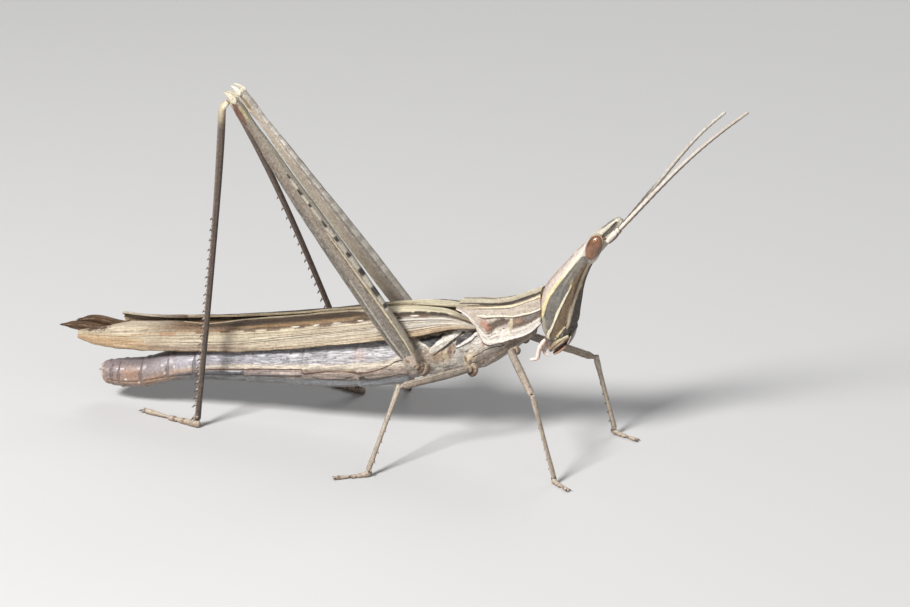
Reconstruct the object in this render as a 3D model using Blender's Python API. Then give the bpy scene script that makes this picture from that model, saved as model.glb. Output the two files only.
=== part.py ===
"""Slant-faced grasshopper: a life-size still model of an adult female, standing on six feet.

Frame: +X runs towards the head, +Y to the animal's left, +Z up. The floor is z = 0 and the origin is
the middle of the model's box, on the floor. Sizes in this file are millimetres and MM turns them into
metres when a piece is finished. Each shell plate, wing and leg joint is an object of its own, GAP away
from its neighbours. Lengths along the body are given from a working point a little behind the hind
hips; X_MIDDLE moves them to the box's middle.
"""

import math

import bmesh
import bpy
from mathutils import Vector

MM = 0.001
GAP = 0.25  # clear space between two pieces that meet
TURN = math.tau

RIGHT, LEFT = -1, 1
SIDE_NAMES = {RIGHT: "right", LEFT: "left"}

# Driving places of the whole animal
WING_TIP_X = -48.95
ANTENNA_TIP_X = 49.3
X_MIDDLE = (WING_TIP_X + ANTENNA_TIP_X) / 2
HEAD_BASE_X = 21.35
ABDOMEN_ROOT_X = 2.3

# Abdomen: where one segment ends and the next begins, front to back
SEGMENT_ENDS = (2.3, -4.6, -12.3, -20.8, -28.4, -32.4, -36.5, -39.9)
# x, height of the widest line, rise above it, drop below it, half width
ABDOMEN = (
    (-43.3, 4.3, 0.8, 0.9, 0.8),
    (-42.3, 4.3, 1.35, 1.7, 1.7),
    (-40.0, 4.45, 1.8, 2.2, 2.1),
    (-37.0, 4.85, 1.9, 2.35, 2.3),
    (-32.0, 6.3, 2.3, 2.3, 2.6),
    (-24.0, 7.8, 2.95, 2.75, 2.8),
    (-14.0, 8.8, 3.7, 3.2, 2.9),
    (-5.0, 9.95, 4.0, 3.6, 2.9),
    (2.5, 11.3, 3.8, 3.5, 2.75),
)

# Thorax under the saddle and the wings: x, top, bottom, half width
THORAX = (
    (2.6, 15.3, 8.6, 2.6),
    (5.5, 15.9, 9.6, 2.75),
    (9.0, 16.9, 10.35, 2.9),
    (12.0, 18.0, 11.1, 2.5),
    (14.0, 18.9, 11.9, 2.1),
    (16.5, 19.7, 13.8, 2.05),
    (20.0, 21.6, 16.8, 1.7),
)

# Saddle (pronotum): x, height of its side keels, lower edge of its side lobes, half width there
PRONOTUM = (
    (9.6, 20.25, 20.0, 2.0),
    (11.0, 20.4, 19.6, 2.45),
    (12.6, 20.6, 17.8, 2.75),
    (13.9, 20.7, 15.6, 2.85),
    (15.2, 20.95, 15.8, 2.85),
    (17.0, 21.4, 16.5, 2.8),
    (18.6, 22.2, 17.1, 2.7),
    (20.0, 22.85, 17.9, 2.6),
    (21.0, 23.3, 19.3, 2.5),
)
DISC_HALF = 1.9
MEDIAN_KEEL = 0.5
SADDLE_WALL = 0.5
FRONT_BOW = 0.45  # how far the lobes' front edge lies ahead of the disc's

# Head: place along it from the mouth to the tip, then the rear (crown) line x, z and the face line x, z
# in the middle plane, half width, how much wider the rear is than the face, and how square the rear is
HEAD = (
    (0.00, 22.3, 16.8, 25.6, 16.7, 2.1, 0.05, 3.0),
    (0.10, 21.5, 18.4, 26.3, 18.4, 2.45, 0.1, 3.4),
    (0.24, 21.25, 21.2, 26.75, 21.8, 2.65, 0.12, 3.6),
    (0.38, 21.35, 23.75, 27.1, 24.8, 2.45, 0.12, 3.2),
    (0.54, 23.65, 27.0, 27.65, 27.1, 1.95, 0.1, 2.8),
    (0.68, 25.85, 29.75, 28.6, 28.9, 1.4, 0.05, 2.5),
    (0.80, 27.75, 31.9, 29.6, 30.9, 1.1, 0.0, 2.3),
    (0.90, 29.3, 33.7, 30.35, 32.6, 1.0, 0.0, 2.3),
    (1.00, 31.2, 35.0, 31.65, 34.5, 0.5, 0.0, 2.3),
)

EYE_CENTRE = Vector((28.65, 1.5, 30.8))
EYE_HALF_LENGTH, EYE_HALF_WIDTH, EYE_BULGE = 1.95, 1.0, 0.85
EYE_SLOPE = math.radians(62)

# Mouth: upper lip; jaw as height, x, half length, distance from the middle, half width; palp
LABRUM_TOP, LABRUM_TIP = Vector((25.35, 0, 16.3)), Vector((23.15, 0, 14.75))
MANDIBLE = (
    (16.6, 23.35, 0.75, 0.95, 0.62),
    (16.1, 23.15, 0.75, 0.95, 0.68),
    (15.55, 22.75, 0.62, 0.75, 0.5),
    (15.1, 22.35, 0.4, 0.52, 0.26),
)
PALP = ((21.85, 1.3, 16.75), (21.15, 1.7, 15.5), (20.95, 1.9, 14.1), (19.95, 1.9, 13.85))
PALP_SIZES = ((0.34, 0.36), (0.3, 0.33), (0.27, 0.3), (0.2, 0.22))

# Wings: x, lower edge height, lower edge half width, shoulder height, shoulder half width,
# inner edge height, inner edge distance from the middle
TEGMEN = (
    (-45.9, 9.3, 1.7, 9.9, 1.6, 10.35, 1.3),
    (-44.4, 9.0, 1.95, 10.4, 1.8, 10.8, 1.2),
    (-42.0, 8.7, 2.2, 10.75, 2.0, 11.3, 1.15),
    (-38.4, 8.75, 2.4, 11.2, 2.15, 12.2, 0.3),
    (-32.0, 9.35, 2.75, 12.3, 2.35, 13.0, 0.3),
    (-26.5, 10.0, 3.0, 13.1, 2.45, 13.6, 1.1),
    (-22.0, 10.5, 3.1, 13.8, 2.5, 14.4, 0.6),
    (-14.0, 11.95, 3.3, 15.2, 2.6, 15.9, 0.25),
    (-5.0, 13.8, 3.4, 17.1, 2.7, 17.7, 0.25),
    (4.0, 15.8, 3.4, 19.0, 2.8, 19.35, 0.3),
    (8.0, 17.1, 3.3, 19.35, 2.8, 19.45, 0.6),
    (10.6, 18.2, 3.2, 19.2, 2.85, 19.25, 1.6),
)
TEGMEN_WALL = 0.5
# the left wing lies higher over the back, most of all at its tip: x, lift
LEFT_LIFT = ((-40.4, 1.4), (-36.0, 0.7), (-33.0, 0.5), (-26.0, 0.3), (-18.0, 0.25), (10.6, 0.0))
LEFT_TEGMEN_END = -40.4  # its tip is torn away

# Folded hind wing: x, bottom, top, outer distance from the middle
HINDWING = (
    (-48.95, 10.35, 10.6, 0.35),
    (-47.8, 10.2, 11.2, 0.6),
    (-45.0, 9.9, 11.55, 0.65),
    (-41.0, 9.6, 11.0, 0.65),
    (-35.0, 9.75, 11.75, 1.2),
    (-26.5, 11.3, 12.9, 1.4),
    (-14.0, 12.85, 14.7, 1.5),
    (-5.0, 14.35, 16.5, 1.5),
    (3.0, 15.75, 17.9, 1.5),
    (9.0, 17.6, 18.7, 1.3),
)
HINDWING_ENDS = {RIGHT: WING_TIP_X, LEFT: -46.6}

# Legs: hip, knee, ankle and the end of the foot
LEGS = {
    ("fore", RIGHT): ((17.6, -3.35, 15.4), (22.3, -9.4, 11.95), (25.85, -10.45, 0.7), (28.6, -12.8, 0.3)),
    ("fore", LEFT): ((17.6, 3.35, 15.4), (26.35, 6.5, 11.85), (29.25, 8.3, 0.7), (33.2, 6.4, 0.3)),
    ("mid", RIGHT): ((11.9, -3.85, 12.3), (4.25, -9.0, 10.9), (1.3, -15.5, 0.7), (-3.0, -18.0, 0.3)),
    ("mid", LEFT): ((11.9, 3.85, 12.3), (2.6, 8.8, 11.6), (-2.6, 15.2, 0.7), (-6.9, 18.0, 0.3)),
    ("hind", RIGHT): ((4.65, -4.5, 12.1), (-19.6, -8.0, 48.95), (-26.5, -6.2, 0.8), (-36.2, -3.2, 0.3)),
    ("hind", LEFT): ((4.4, 4.5, 12.0), (-24.0, 6.7, 45.05), (-8.55, 12.0, 0.8), (-18.1, 14.9, 0.3)),
}
COXA_ROOTS = {"fore": (18.2, 1.9, 15.0), "mid": (12.3, 3.05, 11.9), "hind": (5.9, 3.55, 11.3)}
COXA_SIZES = {"fore": (0.55, 0.68), "mid": (0.9, 0.54), "hind": (0.9, 0.55)}  # radius, clearance at the hip

# Antennae: end of the scape, tip, and how far the middle bows upwards
SCAPE_FOOT, SCAPE_END = Vector((30.15, 0.85, 31.35)), Vector((31.75, 0.95, 33.35))
ANTENNA_TIPS = {RIGHT: Vector((ANTENNA_TIP_X, -3.6, 52.2)), LEFT: Vector((44.6, 3.8, 49.4))}
ANTENNA_BOW = {RIGHT: (1.0, 1.15), LEFT: (0.95, 1.6)}  # rise, and how far towards the tip it lies
ANTENNA_WIDTH, ANTENNA_DEPTH = 1.15, 0.6


# ---------------------------------------------------------------- shapes

def slope_at(before, here, after, index):
    """Slope of one value through a station, flat where the value turns back."""
    first = (here[index] - before[index]) / (here[0] - before[0]) if here is not before else None
    second = (after[index] - here[index]) / (after[0] - here[0]) if after is not here else None
    if first is None or second is None:
        return first if second is None else second
    if first * second <= 0:
        return 0.0
    return 2 * first * second / (first + second)


def between(stations, key):
    """Values of the stations (key, value, ...) at key, on a smooth curve that never overshoots."""
    last = len(stations) - 1
    index = 0
    while index < last - 1 and key > stations[index + 1][0]:
        index += 1
    a, b = stations[index], stations[index + 1]
    before, after = stations[max(index - 1, 0)], stations[min(index + 2, last)]
    span = b[0] - a[0]
    t = min(max((key - a[0]) / span, 0.0), 1.0)
    values = []
    for i in range(1, len(a)):
        rise_a, rise_b = slope_at(before, a, b, i) * span, slope_at(a, b, after, i) * span
        values.append(
            (1 + 2 * t) * (1 - t) ** 2 * a[i] + t * (1 - t) ** 2 * rise_a
            + t * t * (3 - 2 * t) * b[i] - t * t * (1 - t) * rise_b
        )
    return values


def spread(first, last, count):
    """Count even steps from first to last, both included."""
    return [first + (last - first) * i / (count - 1) for i in range(count)]


def oval(centre, up, down, side, count, power=2.0, egg=0.0, upper_power=None):
    """Ring about centre with half axes up, down and side.

    power 2 is round and more is squarer, upper_power is the upper half's own, and egg widens that half.
    """
    ring = []
    for k in range(count):
        angle = TURN * (k + 0.5) / count
        c, s = math.cos(angle), math.sin(angle)
        square = upper_power if upper_power and c > 0 else power
        rise = math.copysign(abs(c) ** (2 / square), c)
        out = math.copysign(abs(s) ** (2 / square), s)
        ring.append(centre + (up if rise > 0 else down) * abs(rise) + side * (out * (1 + egg * rise)))
    return ring


def loft(rings, first_pole=None, last_pole=None):
    """Closed skin over the rings; an end closes flat, or to its pole."""
    bm = bmesh.new()
    made = [[bm.verts.new(point) for point in ring] for ring in rings]
    count = len(made[0])
    for near, far in zip(made, made[1:]):
        for k in range(count):
            bm.faces.new((near[k], near[(k + 1) % count], far[(k + 1) % count], far[k]))
    for ring, pole in ((made[0], first_pole), (made[-1], last_pole)):
        if pole is None:
            bm.faces.new(ring)
            continue
        top = bm.verts.new(pole)
        for k in range(count):
            bm.faces.new((ring[k], ring[(k + 1) % count], top))
    bmesh.ops.recalc_face_normals(bm, faces=bm.faces[:])
    return bm


def nearest_face(bm, place, facing=None):
    """The face whose middle is nearest to place, among those turned towards facing."""
    faces = [f for f in bm.faces if facing is None or f.normal.dot(facing) > 0.3]
    return min(faces, key=lambda f: (f.calc_center_median() - place).length)


def spine(bm, face, reach, lean):
    """Raises a face into a pointed spine, reach out along its normal and lean along the limb."""
    tip = face.calc_center_median() + face.normal * reach + lean
    made = bmesh.ops.poke(bm, faces=[face])
    made["verts"][0].co = tip


def horn(bm, face, steps):
    """Draws a face out along steps of (offset, scale) and ends it in a point."""
    for offset, scale in steps:
        made = bmesh.ops.extrude_discrete_faces(bm, faces=[face])
        face = made["faces"][0]
        centre = face.calc_center_median()
        for vert in face.verts:
            vert.co = centre + (vert.co - centre) * scale + offset
    last = steps[-1][0]
    tip = face.calc_center_median() + last * 0.7
    bmesh.ops.poke(bm, faces=[face])["verts"][0].co = tip


def finish(name, bm, finish_values, sharp_deg=40):
    """Names the piece, moves it into the model's frame in metres and gives it its material."""
    bm.normal_update()
    bmesh.ops.translate(bm, vec=(-X_MIDDLE, 0, 0), verts=bm.verts)
    bmesh.ops.scale(bm, vec=(MM, MM, MM), verts=bm.verts)
    mesh = bpy.data.meshes.new(name)
    bm.to_mesh(mesh)
    bm.free()
    mesh.shade_smooth()
    mesh.set_sharp_from_angle(angle=math.radians(sharp_deg))
    colour, roughness = finish_values
    material = bpy.data.materials.new(name)
    material.use_nodes = True
    shader = material.node_tree.nodes["Principled BSDF"]
    shader.inputs["Base Color"].default_value = (*colour, 1.0)
    shader.inputs["Roughness"].default_value = roughness
    shader.inputs["Metallic"].default_value = 0.0
    mesh.materials.append(material)
    piece = bpy.data.objects.new(name, mesh)
    bpy.context.collection.objects.link(piece)
    return piece


# Colour and roughness of each kind of surface
HEAD_SHELL = ((0.42, 0.38, 0.28), 0.5)
EYE_GLOSS = ((0.24, 0.11, 0.06), 0.15)
MOUTH_SHELL = ((0.45, 0.25, 0.17), 0.45)
PALE_SHELL = ((0.68, 0.55, 0.48), 0.55)
BODY_SHELL = ((0.55, 0.49, 0.42), 0.55)
BELLY_SHELL = ((0.58, 0.52, 0.54), 0.5)
WING_STRAW = ((0.62, 0.52, 0.36), 0.6)
WING_BROWN = ((0.16, 0.08, 0.04), 0.6)
LEG_SHELL = ((0.38, 0.31, 0.24), 0.5)
SHIN_SHELL = ((0.3, 0.19, 0.16), 0.45)
FEELER_SHELL = ((0.55, 0.48, 0.44), 0.55)


# ---------------------------------------------------------------- head

def mirrored(point, side):
    """The place on the given side of a place stated for the left."""
    return Vector((point[0], side * point[1], point[2]))


def head_ring(place, count=16):
    rear_x, rear_z, face_x, face_z, half, egg, square = between(HEAD, place)
    rear, face = Vector((rear_x, 0, rear_z)), Vector((face_x, 0, face_z))
    centre = (rear + face) / 2
    return oval(centre, rear - centre, face - centre, Vector((0, half, 0)), count, 2.2, egg, square)


def make_head():
    places = [0.0, 0.05, 0.12, 0.2, 0.3, 0.38, 0.47, 0.57, 0.67, 0.77, 0.87, 0.95, 1.0]
    finish("head", loft([head_ring(p) for p in places]), HEAD_SHELL)


def make_eye(side):
    along = Vector((math.cos(EYE_SLOPE), 0, math.sin(EYE_SLOPE)))
    across = Vector((math.sin(EYE_SLOPE), 0, -math.cos(EYE_SLOPE)))
    centre = mirrored(EYE_CENTRE, side)
    out = Vector((0, side, 0))
    rings = []
    for height, size in ((0.0, 0.93), (0.25, 1.0), (0.6, 0.83), (0.88, 0.5)):
        middle = centre + out * EYE_BULGE * height
        half = along * EYE_HALF_LENGTH * size
        rings.append(oval(middle, half, -half, across * EYE_HALF_WIDTH * size, 16))
    bm = loft(rings, last_pole=centre + out * EYE_BULGE)
    finish(f"eye_{SIDE_NAMES[side]}", bm, EYE_GLOSS, 80)


def make_mouth():
    """Upper lip, jaws and the two pairs of palps below the head's lower rim."""
    thick = Vector((0.19, 0, -0.25))
    rings = []
    for t, half in ((0.0, 0.85), (0.35, 1.1), (0.75, 1.0), (1.0, 0.55)):
        centre = LABRUM_TOP.lerp(LABRUM_TIP, t)
        rings.append(oval(centre, thick, -thick, Vector((0, half, 0)), 10, 3.0))
    finish("labrum", loft(rings), MOUTH_SHELL)
    for side in SIDE_NAMES:
        rings = []
        for height, x, half_x, y, half_y in MANDIBLE:
            ahead = Vector((half_x, 0, 0))
            rings.append(oval(Vector((x, side * y, height)), ahead, -ahead, Vector((0, half_y, 0)), 10, 2.4))
        finish(f"mandible_{SIDE_NAMES[side]}", loft(rings), MOUTH_SHELL)
        path = [mirrored(place, side) for place in PALP]
        bm = rod(path, Vector((0, side, 0)), PALP_SIZES, 8)
        finish(f"palp_{SIDE_NAMES[side]}", bm, PALE_SHELL)


def make_antenna(side):
    name = SIDE_NAMES[side]
    foot, end = mirrored(SCAPE_FOOT, side), mirrored(SCAPE_END, side)
    outward = Vector((0, side, 0))
    path = [foot.lerp(end, t) for t in (0.0, 0.3, 0.75, 1.0)]
    bm = rod(path, outward, ((0.3, 0.32), (0.42, 0.5), (0.4, 0.48), (0.3, 0.4)), 8)
    finish(f"scape_{name}", bm, FEELER_SHELL)

    tip = ANTENNA_TIPS[side]
    start = end + (tip - end).normalized() * GAP
    up = Vector((0, 0, 1))
    bow, late = ANTENNA_BOW[side]
    path, sizes = [], []
    for t in spread(0.0, 1.0, 11):
        path.append(start.lerp(tip, t) + up * bow * math.sin(math.pi * t ** late))
        swell = min(1.0, 0.62 + 3.2 * t) * (1 - 0.56 * max(0.0, t - 0.12))
        sizes.append((ANTENNA_DEPTH / 2 * (0.62 + 0.38 * swell), ANTENNA_WIDTH / 2 * swell))
    sizes[-1] = (0.25, 0.25)
    finish(f"antenna_{name}", rod(path, outward, sizes, 6), FEELER_SHELL)


# ---------------------------------------------------------------- trunk

def make_pronotum():
    """Saddle over the fore part of the trunk: a flat disc with three keels and two hanging lobes."""
    rings = []
    front = PRONOTUM[-1][0]
    for x in (9.6, 10.4, 11.2, 12.1, 13.0, 13.9, 15.0, 16.2, 17.4, 18.7, 20.0, front):
        keel, low, half = between(PRONOTUM, x)
        wall = SADDLE_WALL
        bulge = keel - (keel - low) * 0.55
        upper = keel - (keel - low) * 0.18
        shoulder = half * 0.5 + DISC_HALF * 0.52
        outer = [
            (half - 0.08, low),
            (half + 0.05, bulge),
            (shoulder, upper),
            (DISC_HALF, keel),
            (DISC_HALF * 0.5, keel + MEDIAN_KEEL * 0.4),
            (0.0, keel + MEDIAN_KEEL),
        ]
        inner = [
            (half - 0.08 - wall, low + 0.02),
            (half + 0.05 - wall, bulge - 0.02),
            (shoulder - wall, upper - 0.05),
            (DISC_HALF - wall, keel - wall),
            (DISC_HALF * 0.45, keel - wall + 0.06),
            (0.0, keel - wall + 0.1),
        ]
        section = outer + [(-y, z) for y, z in outer[-2::-1]]
        section += [(-y, z) for y, z in inner] + inner[-2::-1]
        bow = FRONT_BOW if x == front else 0.0
        rings.append([Vector((x + bow * min(abs(y) / half, 1.0) ** 2, y, z)) for y, z in section])
    finish("pronotum", loft(rings), BODY_SHELL, 25)


def trunk_ring(x, count=16):
    top, bottom, half = between(THORAX, x)
    level = bottom + (top - bottom) * 0.52
    up, down = Vector((0, 0, top - level)), Vector((0, 0, bottom - level))
    return oval(Vector((x, 0, level)), up, down, Vector((0, half, 0)), count, 2.5)


def make_thorax():
    for name, rear, front in (("metathorax", 2.6, 7.9), ("mesothorax", 8.15, 13.3), ("prothorax", 13.55, 20.0)):
        finish(name, loft([trunk_ring(x) for x in spread(rear, front, 5)]), BODY_SHELL)
    rings = []
    for x, size in ((20.25, 1.0), (20.7, 1.08), (21.05, 0.95)):
        centre = Vector((x, 0, 19.9 + (x - 20.25) * 0.4))
        up = Vector((0, 0, 1.6 * size))
        rings.append(oval(centre, up, -up, Vector((0, 1.35 * size, 0)), 12))
    finish("neck", loft(rings), PALE_SHELL)


def abdomen_ring(x, shrink=1.0, count=16):
    level, rise, drop, half = between(ABDOMEN, x)
    return oval(
        Vector((x, 0, level)), Vector((0, 0, rise * shrink)), Vector((0, 0, -drop * shrink)),
        Vector((0, half * shrink, 0)), count, 2.15,
    )


def make_abdomen():
    """Eight ringed segments; each is a little wider at its hind edge, where it laps the next."""
    for number, front in enumerate(SEGMENT_ENDS, 1):
        last = number == len(SEGMENT_ENDS)
        rear = -42.3 if last else SEGMENT_ENDS[number] + GAP
        middle = (front + rear) / 2
        hem = 0.95 if last else 0.985
        stops = ((front, 0.965), (front - 0.6, 0.985), (middle, 0.985), (rear + 0.5, 1.0), (rear, hem))
        finish(f"abdomen_{number}", loft([abdomen_ring(x, size) for x, size in stops]), BELLY_SHELL)


def make_tail():
    """Upper and lower digging valves behind the last segment."""
    for name, level in (("upper", 5.15), ("lower", 3.45)):
        rings = []
        for t, size in ((0.0, 1.0), (0.5, 0.85), (1.0, 0.4)):
            centre = Vector((-42.55 - 0.75 * t, 0, level + (4.35 - level) * 0.35 * t))
            up = Vector((0, 0, 0.62 * size))
            rings.append(oval(centre, up, -up, Vector((0, 1.15 * size, 0)), 10))
        finish(f"ovipositor_{name}", loft(rings), BELLY_SHELL)


# ---------------------------------------------------------------- wings

def tegmen_section(x, side):
    low_z, low_y, shoulder_z, shoulder_y, in_z, in_y = between(TEGMEN, x)
    lift = between(LEFT_LIFT, x)[0] if side == LEFT else 0.0
    wall = TEGMEN_WALL
    mid_y = low_y * 0.62 + shoulder_y * 0.38 + 0.12
    mid_z = (low_z + shoulder_z) / 2
    outer = [
        (low_y, low_z),
        (mid_y, mid_z),
        (shoulder_y, shoulder_z),
        (shoulder_y * 0.55 + in_y * 0.45, shoulder_z * 0.4 + in_z * 0.6),
        (in_y, in_z),
    ]
    inner = [
        (in_y, in_z - wall),
        (shoulder_y * 0.5 + in_y * 0.5 - 0.1, shoulder_z * 0.45 + in_z * 0.55 - wall),
        (shoulder_y - wall, shoulder_z - wall * 0.75),
        (mid_y - wall, mid_z),
        (low_y - wall, low_z + 0.05),
    ]
    return [Vector((x, side * y, z + lift)) for y, z in outer + inner]


def make_tegmen(side):
    """Leathery fore wing: an upright outer panel, a rounded shoulder and a flat panel over the back."""
    tip = TEGMEN[0][0] if side == RIGHT else LEFT_TEGMEN_END
    stops = [x for x in (-45.9, -45.2, -43.8) if x >= tip] + spread(max(tip, -42.0), 10.6, 14)
    finish(f"tegmen_{SIDE_NAMES[side]}", loft([tegmen_section(x, side) for x in stops]), WING_STRAW, 30)


def make_hindwing(side):
    """Folded hind wing, a slim pleated packet between the fore wings that shows behind their tips."""
    rings = []
    end = HINDWING_ENDS[side]
    for x in spread(end, 9.0, 12):
        drawn_in = max(0.0, (x + 35.0) / (end + 35.0)) * (end - WING_TIP_X)
        low, high, out = between(HINDWING, x - drawn_in)
        inner = GAP / 2
        lift = 0.6 * between(LEFT_LIFT, x)[0] if side == LEFT else 0.0
        centre = Vector((x, side * (inner + out) / 2, (low + high) / 2 + lift))
        up = Vector((0, 0, (high - low) / 2))
        half = max((out - inner) / 2, 0.2)
        rings.append(oval(centre, up, -up, Vector((0, half, 0)), 8, 3.0))
    finish(f"hindwing_{SIDE_NAMES[side]}", loft(rings), WING_BROWN)


# ---------------------------------------------------------------- legs

def rod(path, outward, sizes, count, power=2.0):
    """Tube along path; sizes holds its half thickness along outward and its half depth across it."""
    rings = []
    for i, centre in enumerate(path):
        before, after = path[max(i - 1, 0)], path[min(i + 1, len(path) - 1)]
        along = (after - before).normalized()
        side = (outward - along * outward.dot(along)).normalized()
        deep = side.cross(along)
        thick, depth = sizes[i]
        rings.append(oval(centre, deep * depth, -deep * depth, side * thick, count, power))
    return loft(rings)


# Thighs: place along, depth above and below the axis, half thickness
HIND_FEMUR = (
    (0.0, 0.45, 0.45, 0.4),
    (0.03, 0.9, 0.9, 0.65),
    (0.07, 1.35, 1.35, 0.8),
    (0.16, 1.5, 1.5, 0.85),
    (0.35, 1.5, 1.55, 0.85),
    (0.55, 1.2, 1.45, 0.75),
    (0.75, 0.85, 1.1, 0.62),
    (0.83, 0.82, 0.82, 0.56),
    (0.89, 0.68, 0.58, 0.52),
    (0.935, 0.66, 0.98, 0.6),
    (0.965, 0.66, 0.8, 0.6),
    (1.0, 0.55, 0.2, 0.45),
)
SLIM_FEMUR = (
    (0.0, 0.4, 0.4, 0.4),
    (0.1, 0.52, 0.52, 0.48),
    (0.4, 0.58, 0.58, 0.5),
    (0.8, 0.5, 0.5, 0.45),
    (0.94, 0.55, 0.55, 0.48),
    (1.0, 0.35, 0.35, 0.35),
)
# Shins: place along, half thickness, half depth
HIND_SHIN = (
    (0.0, 0.35, 0.35),
    (0.03, 0.46, 0.5),
    (0.12, 0.44, 0.54),
    (0.5, 0.38, 0.42),
    (0.95, 0.38, 0.4),
    (1.0, 0.42, 0.46),
)
SLIM_SHIN = (
    (0.0, 0.32, 0.32),
    (0.08, 0.38, 0.42),
    (0.2, 0.31, 0.34),
    (0.7, 0.28, 0.3),
    (0.93, 0.33, 0.36),
    (1.0, 0.3, 0.34),
)
HIND_SPINES, SLIM_SPINES = 20, 5
# Shins: root and bend, each as (reach behind the knee, drop below it), and the bow towards the thigh
HIND_KNEE = ((0.6, 0.55), (1.45, 1.45))
SLIM_KNEE = ((0.62, 0.0), (0.45, 0.75))
SHIN_BOW = {RIGHT: 0.3, LEFT: 1.3}
FOOT_HEIGHT = {"hind": 1.15, "mid": 0.85, "fore": 0.85}
FOOT_HALF = {"hind": 0.46, "mid": 0.36, "fore": 0.36}
# Foot: place along it, top and bottom as parts of its height, width as a part of its half width
FOOT = (
    (0.0, 0.9, 0.1, 0.7),
    (0.08, 1.0, 0.0, 1.0),
    (0.2, 0.8, 0.0, 0.95),
    (0.24, 0.7, 0.0, 0.75),
    (0.36, 0.66, 0.0, 0.9),
    (0.4, 0.56, 0.2, 0.6),
    (0.44, 0.62, 0.0, 0.9),
    (0.54, 0.6, 0.0, 0.95),
    (0.58, 0.5, 0.25, 0.55),
    (0.75, 0.55, 0.12, 0.6),
    (0.9, 0.66, 0.0, 0.8),
    (1.0, 0.6, 0.0, 0.8),
)


def make_coxa(kind, side, hip):
    """Hip joint: a stout stub from the trunk to the thigh."""
    root = mirrored(COXA_ROOTS[kind], side)
    stout, clear = COXA_SIZES[kind]
    end = hip + (root - hip).normalized() * clear
    path = [root.lerp(end, t) for t in (0.0, 0.35, 0.75, 1.0)]
    sizes = [(stout * s, stout * s) for s in (0.85, 1.0, 0.9, 0.6)]
    finish(f"{kind}_coxa_{SIDE_NAMES[side]}", rod(path, Vector((1, 0, 0)), sizes, 8), BODY_SHELL)


def lobe(bm, faces, steps):
    """Draws a patch of faces out along steps of (offset, scale)."""
    for offset, scale in steps:
        made = bmesh.ops.extrude_face_region(bm, geom=faces)["geom"]
        bmesh.ops.delete(bm, geom=faces, context="FACES")
        faces = [item for item in made if isinstance(item, bmesh.types.BMFace)]
        verts = [item for item in made if isinstance(item, bmesh.types.BMVert)]
        centre = sum((vert.co for vert in verts), Vector()) / len(verts)
        for vert in verts:
            vert.co = centre + (vert.co - centre) * scale + offset


def make_femur(kind, side, hip, knee, outward):
    """Thigh; the hind one is deep at its root, waisted before the knee and ends in two pointed lobes."""
    hind = kind == "hind"
    if hind:
        profile, count, power = HIND_FEMUR, 10, 2.6
        places = (0.0, 0.025, 0.05, 0.09, 0.17, 0.3, 0.45, 0.6, 0.75, 0.83, 0.89, 0.935, 0.965, 1.0)
    else:
        profile, count, power = SLIM_FEMUR, 8, 2.0
        places = (0.0, 0.05, 0.15, 0.4, 0.7, 0.88, 0.95, 1.0)
    along = (knee - hip).normalized()
    up = along.cross(outward)
    if up.z < 0:
        up = -up
    rings = []
    for t in places:
        above, below, half = between(profile, t)
        rings.append(oval(hip.lerp(knee, t), up * above, -up * below, outward * half, count, power))
    if hind:
        bm = loft(rings, last_pole=knee + along * 0.1 + up * 0.15)
        for out in (outward, -outward):
            end = [f for f in bm.faces if f.normal.dot(along) > 0.6]
            end.sort(key=lambda f: (f.calc_center_median() - knee).dot(out + up * 0.45), reverse=True)
            lobe(bm, end[:2], [
                (along * 0.5 - up * 0.05, 0.85),
                (along * 0.4 - up * 0.25, 0.75),
                (along * 0.25 - up * 0.2, 0.4),
            ])
    else:
        bm = loft(rings)
    finish(f"{kind}_femur_{SIDE_NAMES[side]}", bm, LEG_SHELL)


def shin_start(kind, knee, hip, ankle):
    """Root beside the thigh's end, and the bend where the shin turns down to the ankle."""
    if kind == "hind":
        back, down, places = Vector((knee.x - hip.x, knee.y - hip.y, 0)), Vector((0, 0, -1)), HIND_KNEE
    else:
        down, places = (ankle - knee).normalized(), SLIM_KNEE
        back = knee - hip - down * (knee - hip).dot(down)
    back.normalize()
    return [knee + back * reach + down * drop for reach, drop in places]


def make_shin(kind, side, hip, knee, ankle, outward):
    """Shin with two rows of spines along its rear."""
    hind = kind == "hind"
    profile = HIND_SHIN if hind else SLIM_SHIN
    count = HIND_SPINES if hind else SLIM_SPINES
    end = ankle + (knee - ankle).normalized() * (FOOT_HEIGHT[kind] - ankle.z + GAP)
    root, bend = shin_start(kind, knee, hip, ankle)
    length = (end - bend).length
    along = (end - bend).normalized()
    rear = outward.cross(along)
    if rear.dot(bend - hip) * (1 if hind else -1) < 0:
        rear = -rear
    bow = SHIN_BOW[side] if hind else 0.0

    def centre_line(t):
        return bend.lerp(end, t) - rear * bow * math.sin(math.pi * t ** 0.7)

    places = [0.0, 0.035, 0.1, 0.2] if hind else [0.0, 0.035]
    spined = []
    first = 0.33 if hind else 0.3
    for i in range(count):
        t = first + (0.975 - first) * (i / count) ** (0.85 if hind else 1.0)
        spined.append(len(places))
        places += [t, t + 0.5 / length]
    places.append(1.0)
    path = [root, root.lerp(bend, 0.55)] + [centre_line(t) for t in places]
    keys = [0.0, 0.02] + [0.05 + 0.95 * t for t in places]
    bm = rod(path, outward, [between(profile, k) for k in keys], 6)
    reach = 0.38 if hind else 0.25
    for index in spined:
        t = (places[index] + places[index + 1]) / 2
        for row in (1, -1):
            place = centre_line(t) + rear * 0.4 + outward * row * 0.3
            face = nearest_face(bm, place, (rear + outward * row * 0.5).normalized())
            spine(bm, face, reach, along * reach * 0.7)
    finish(f"{kind}_tibia_{SIDE_NAMES[side]}", bm, SHIN_SHELL if hind else LEG_SHELL)


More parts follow.
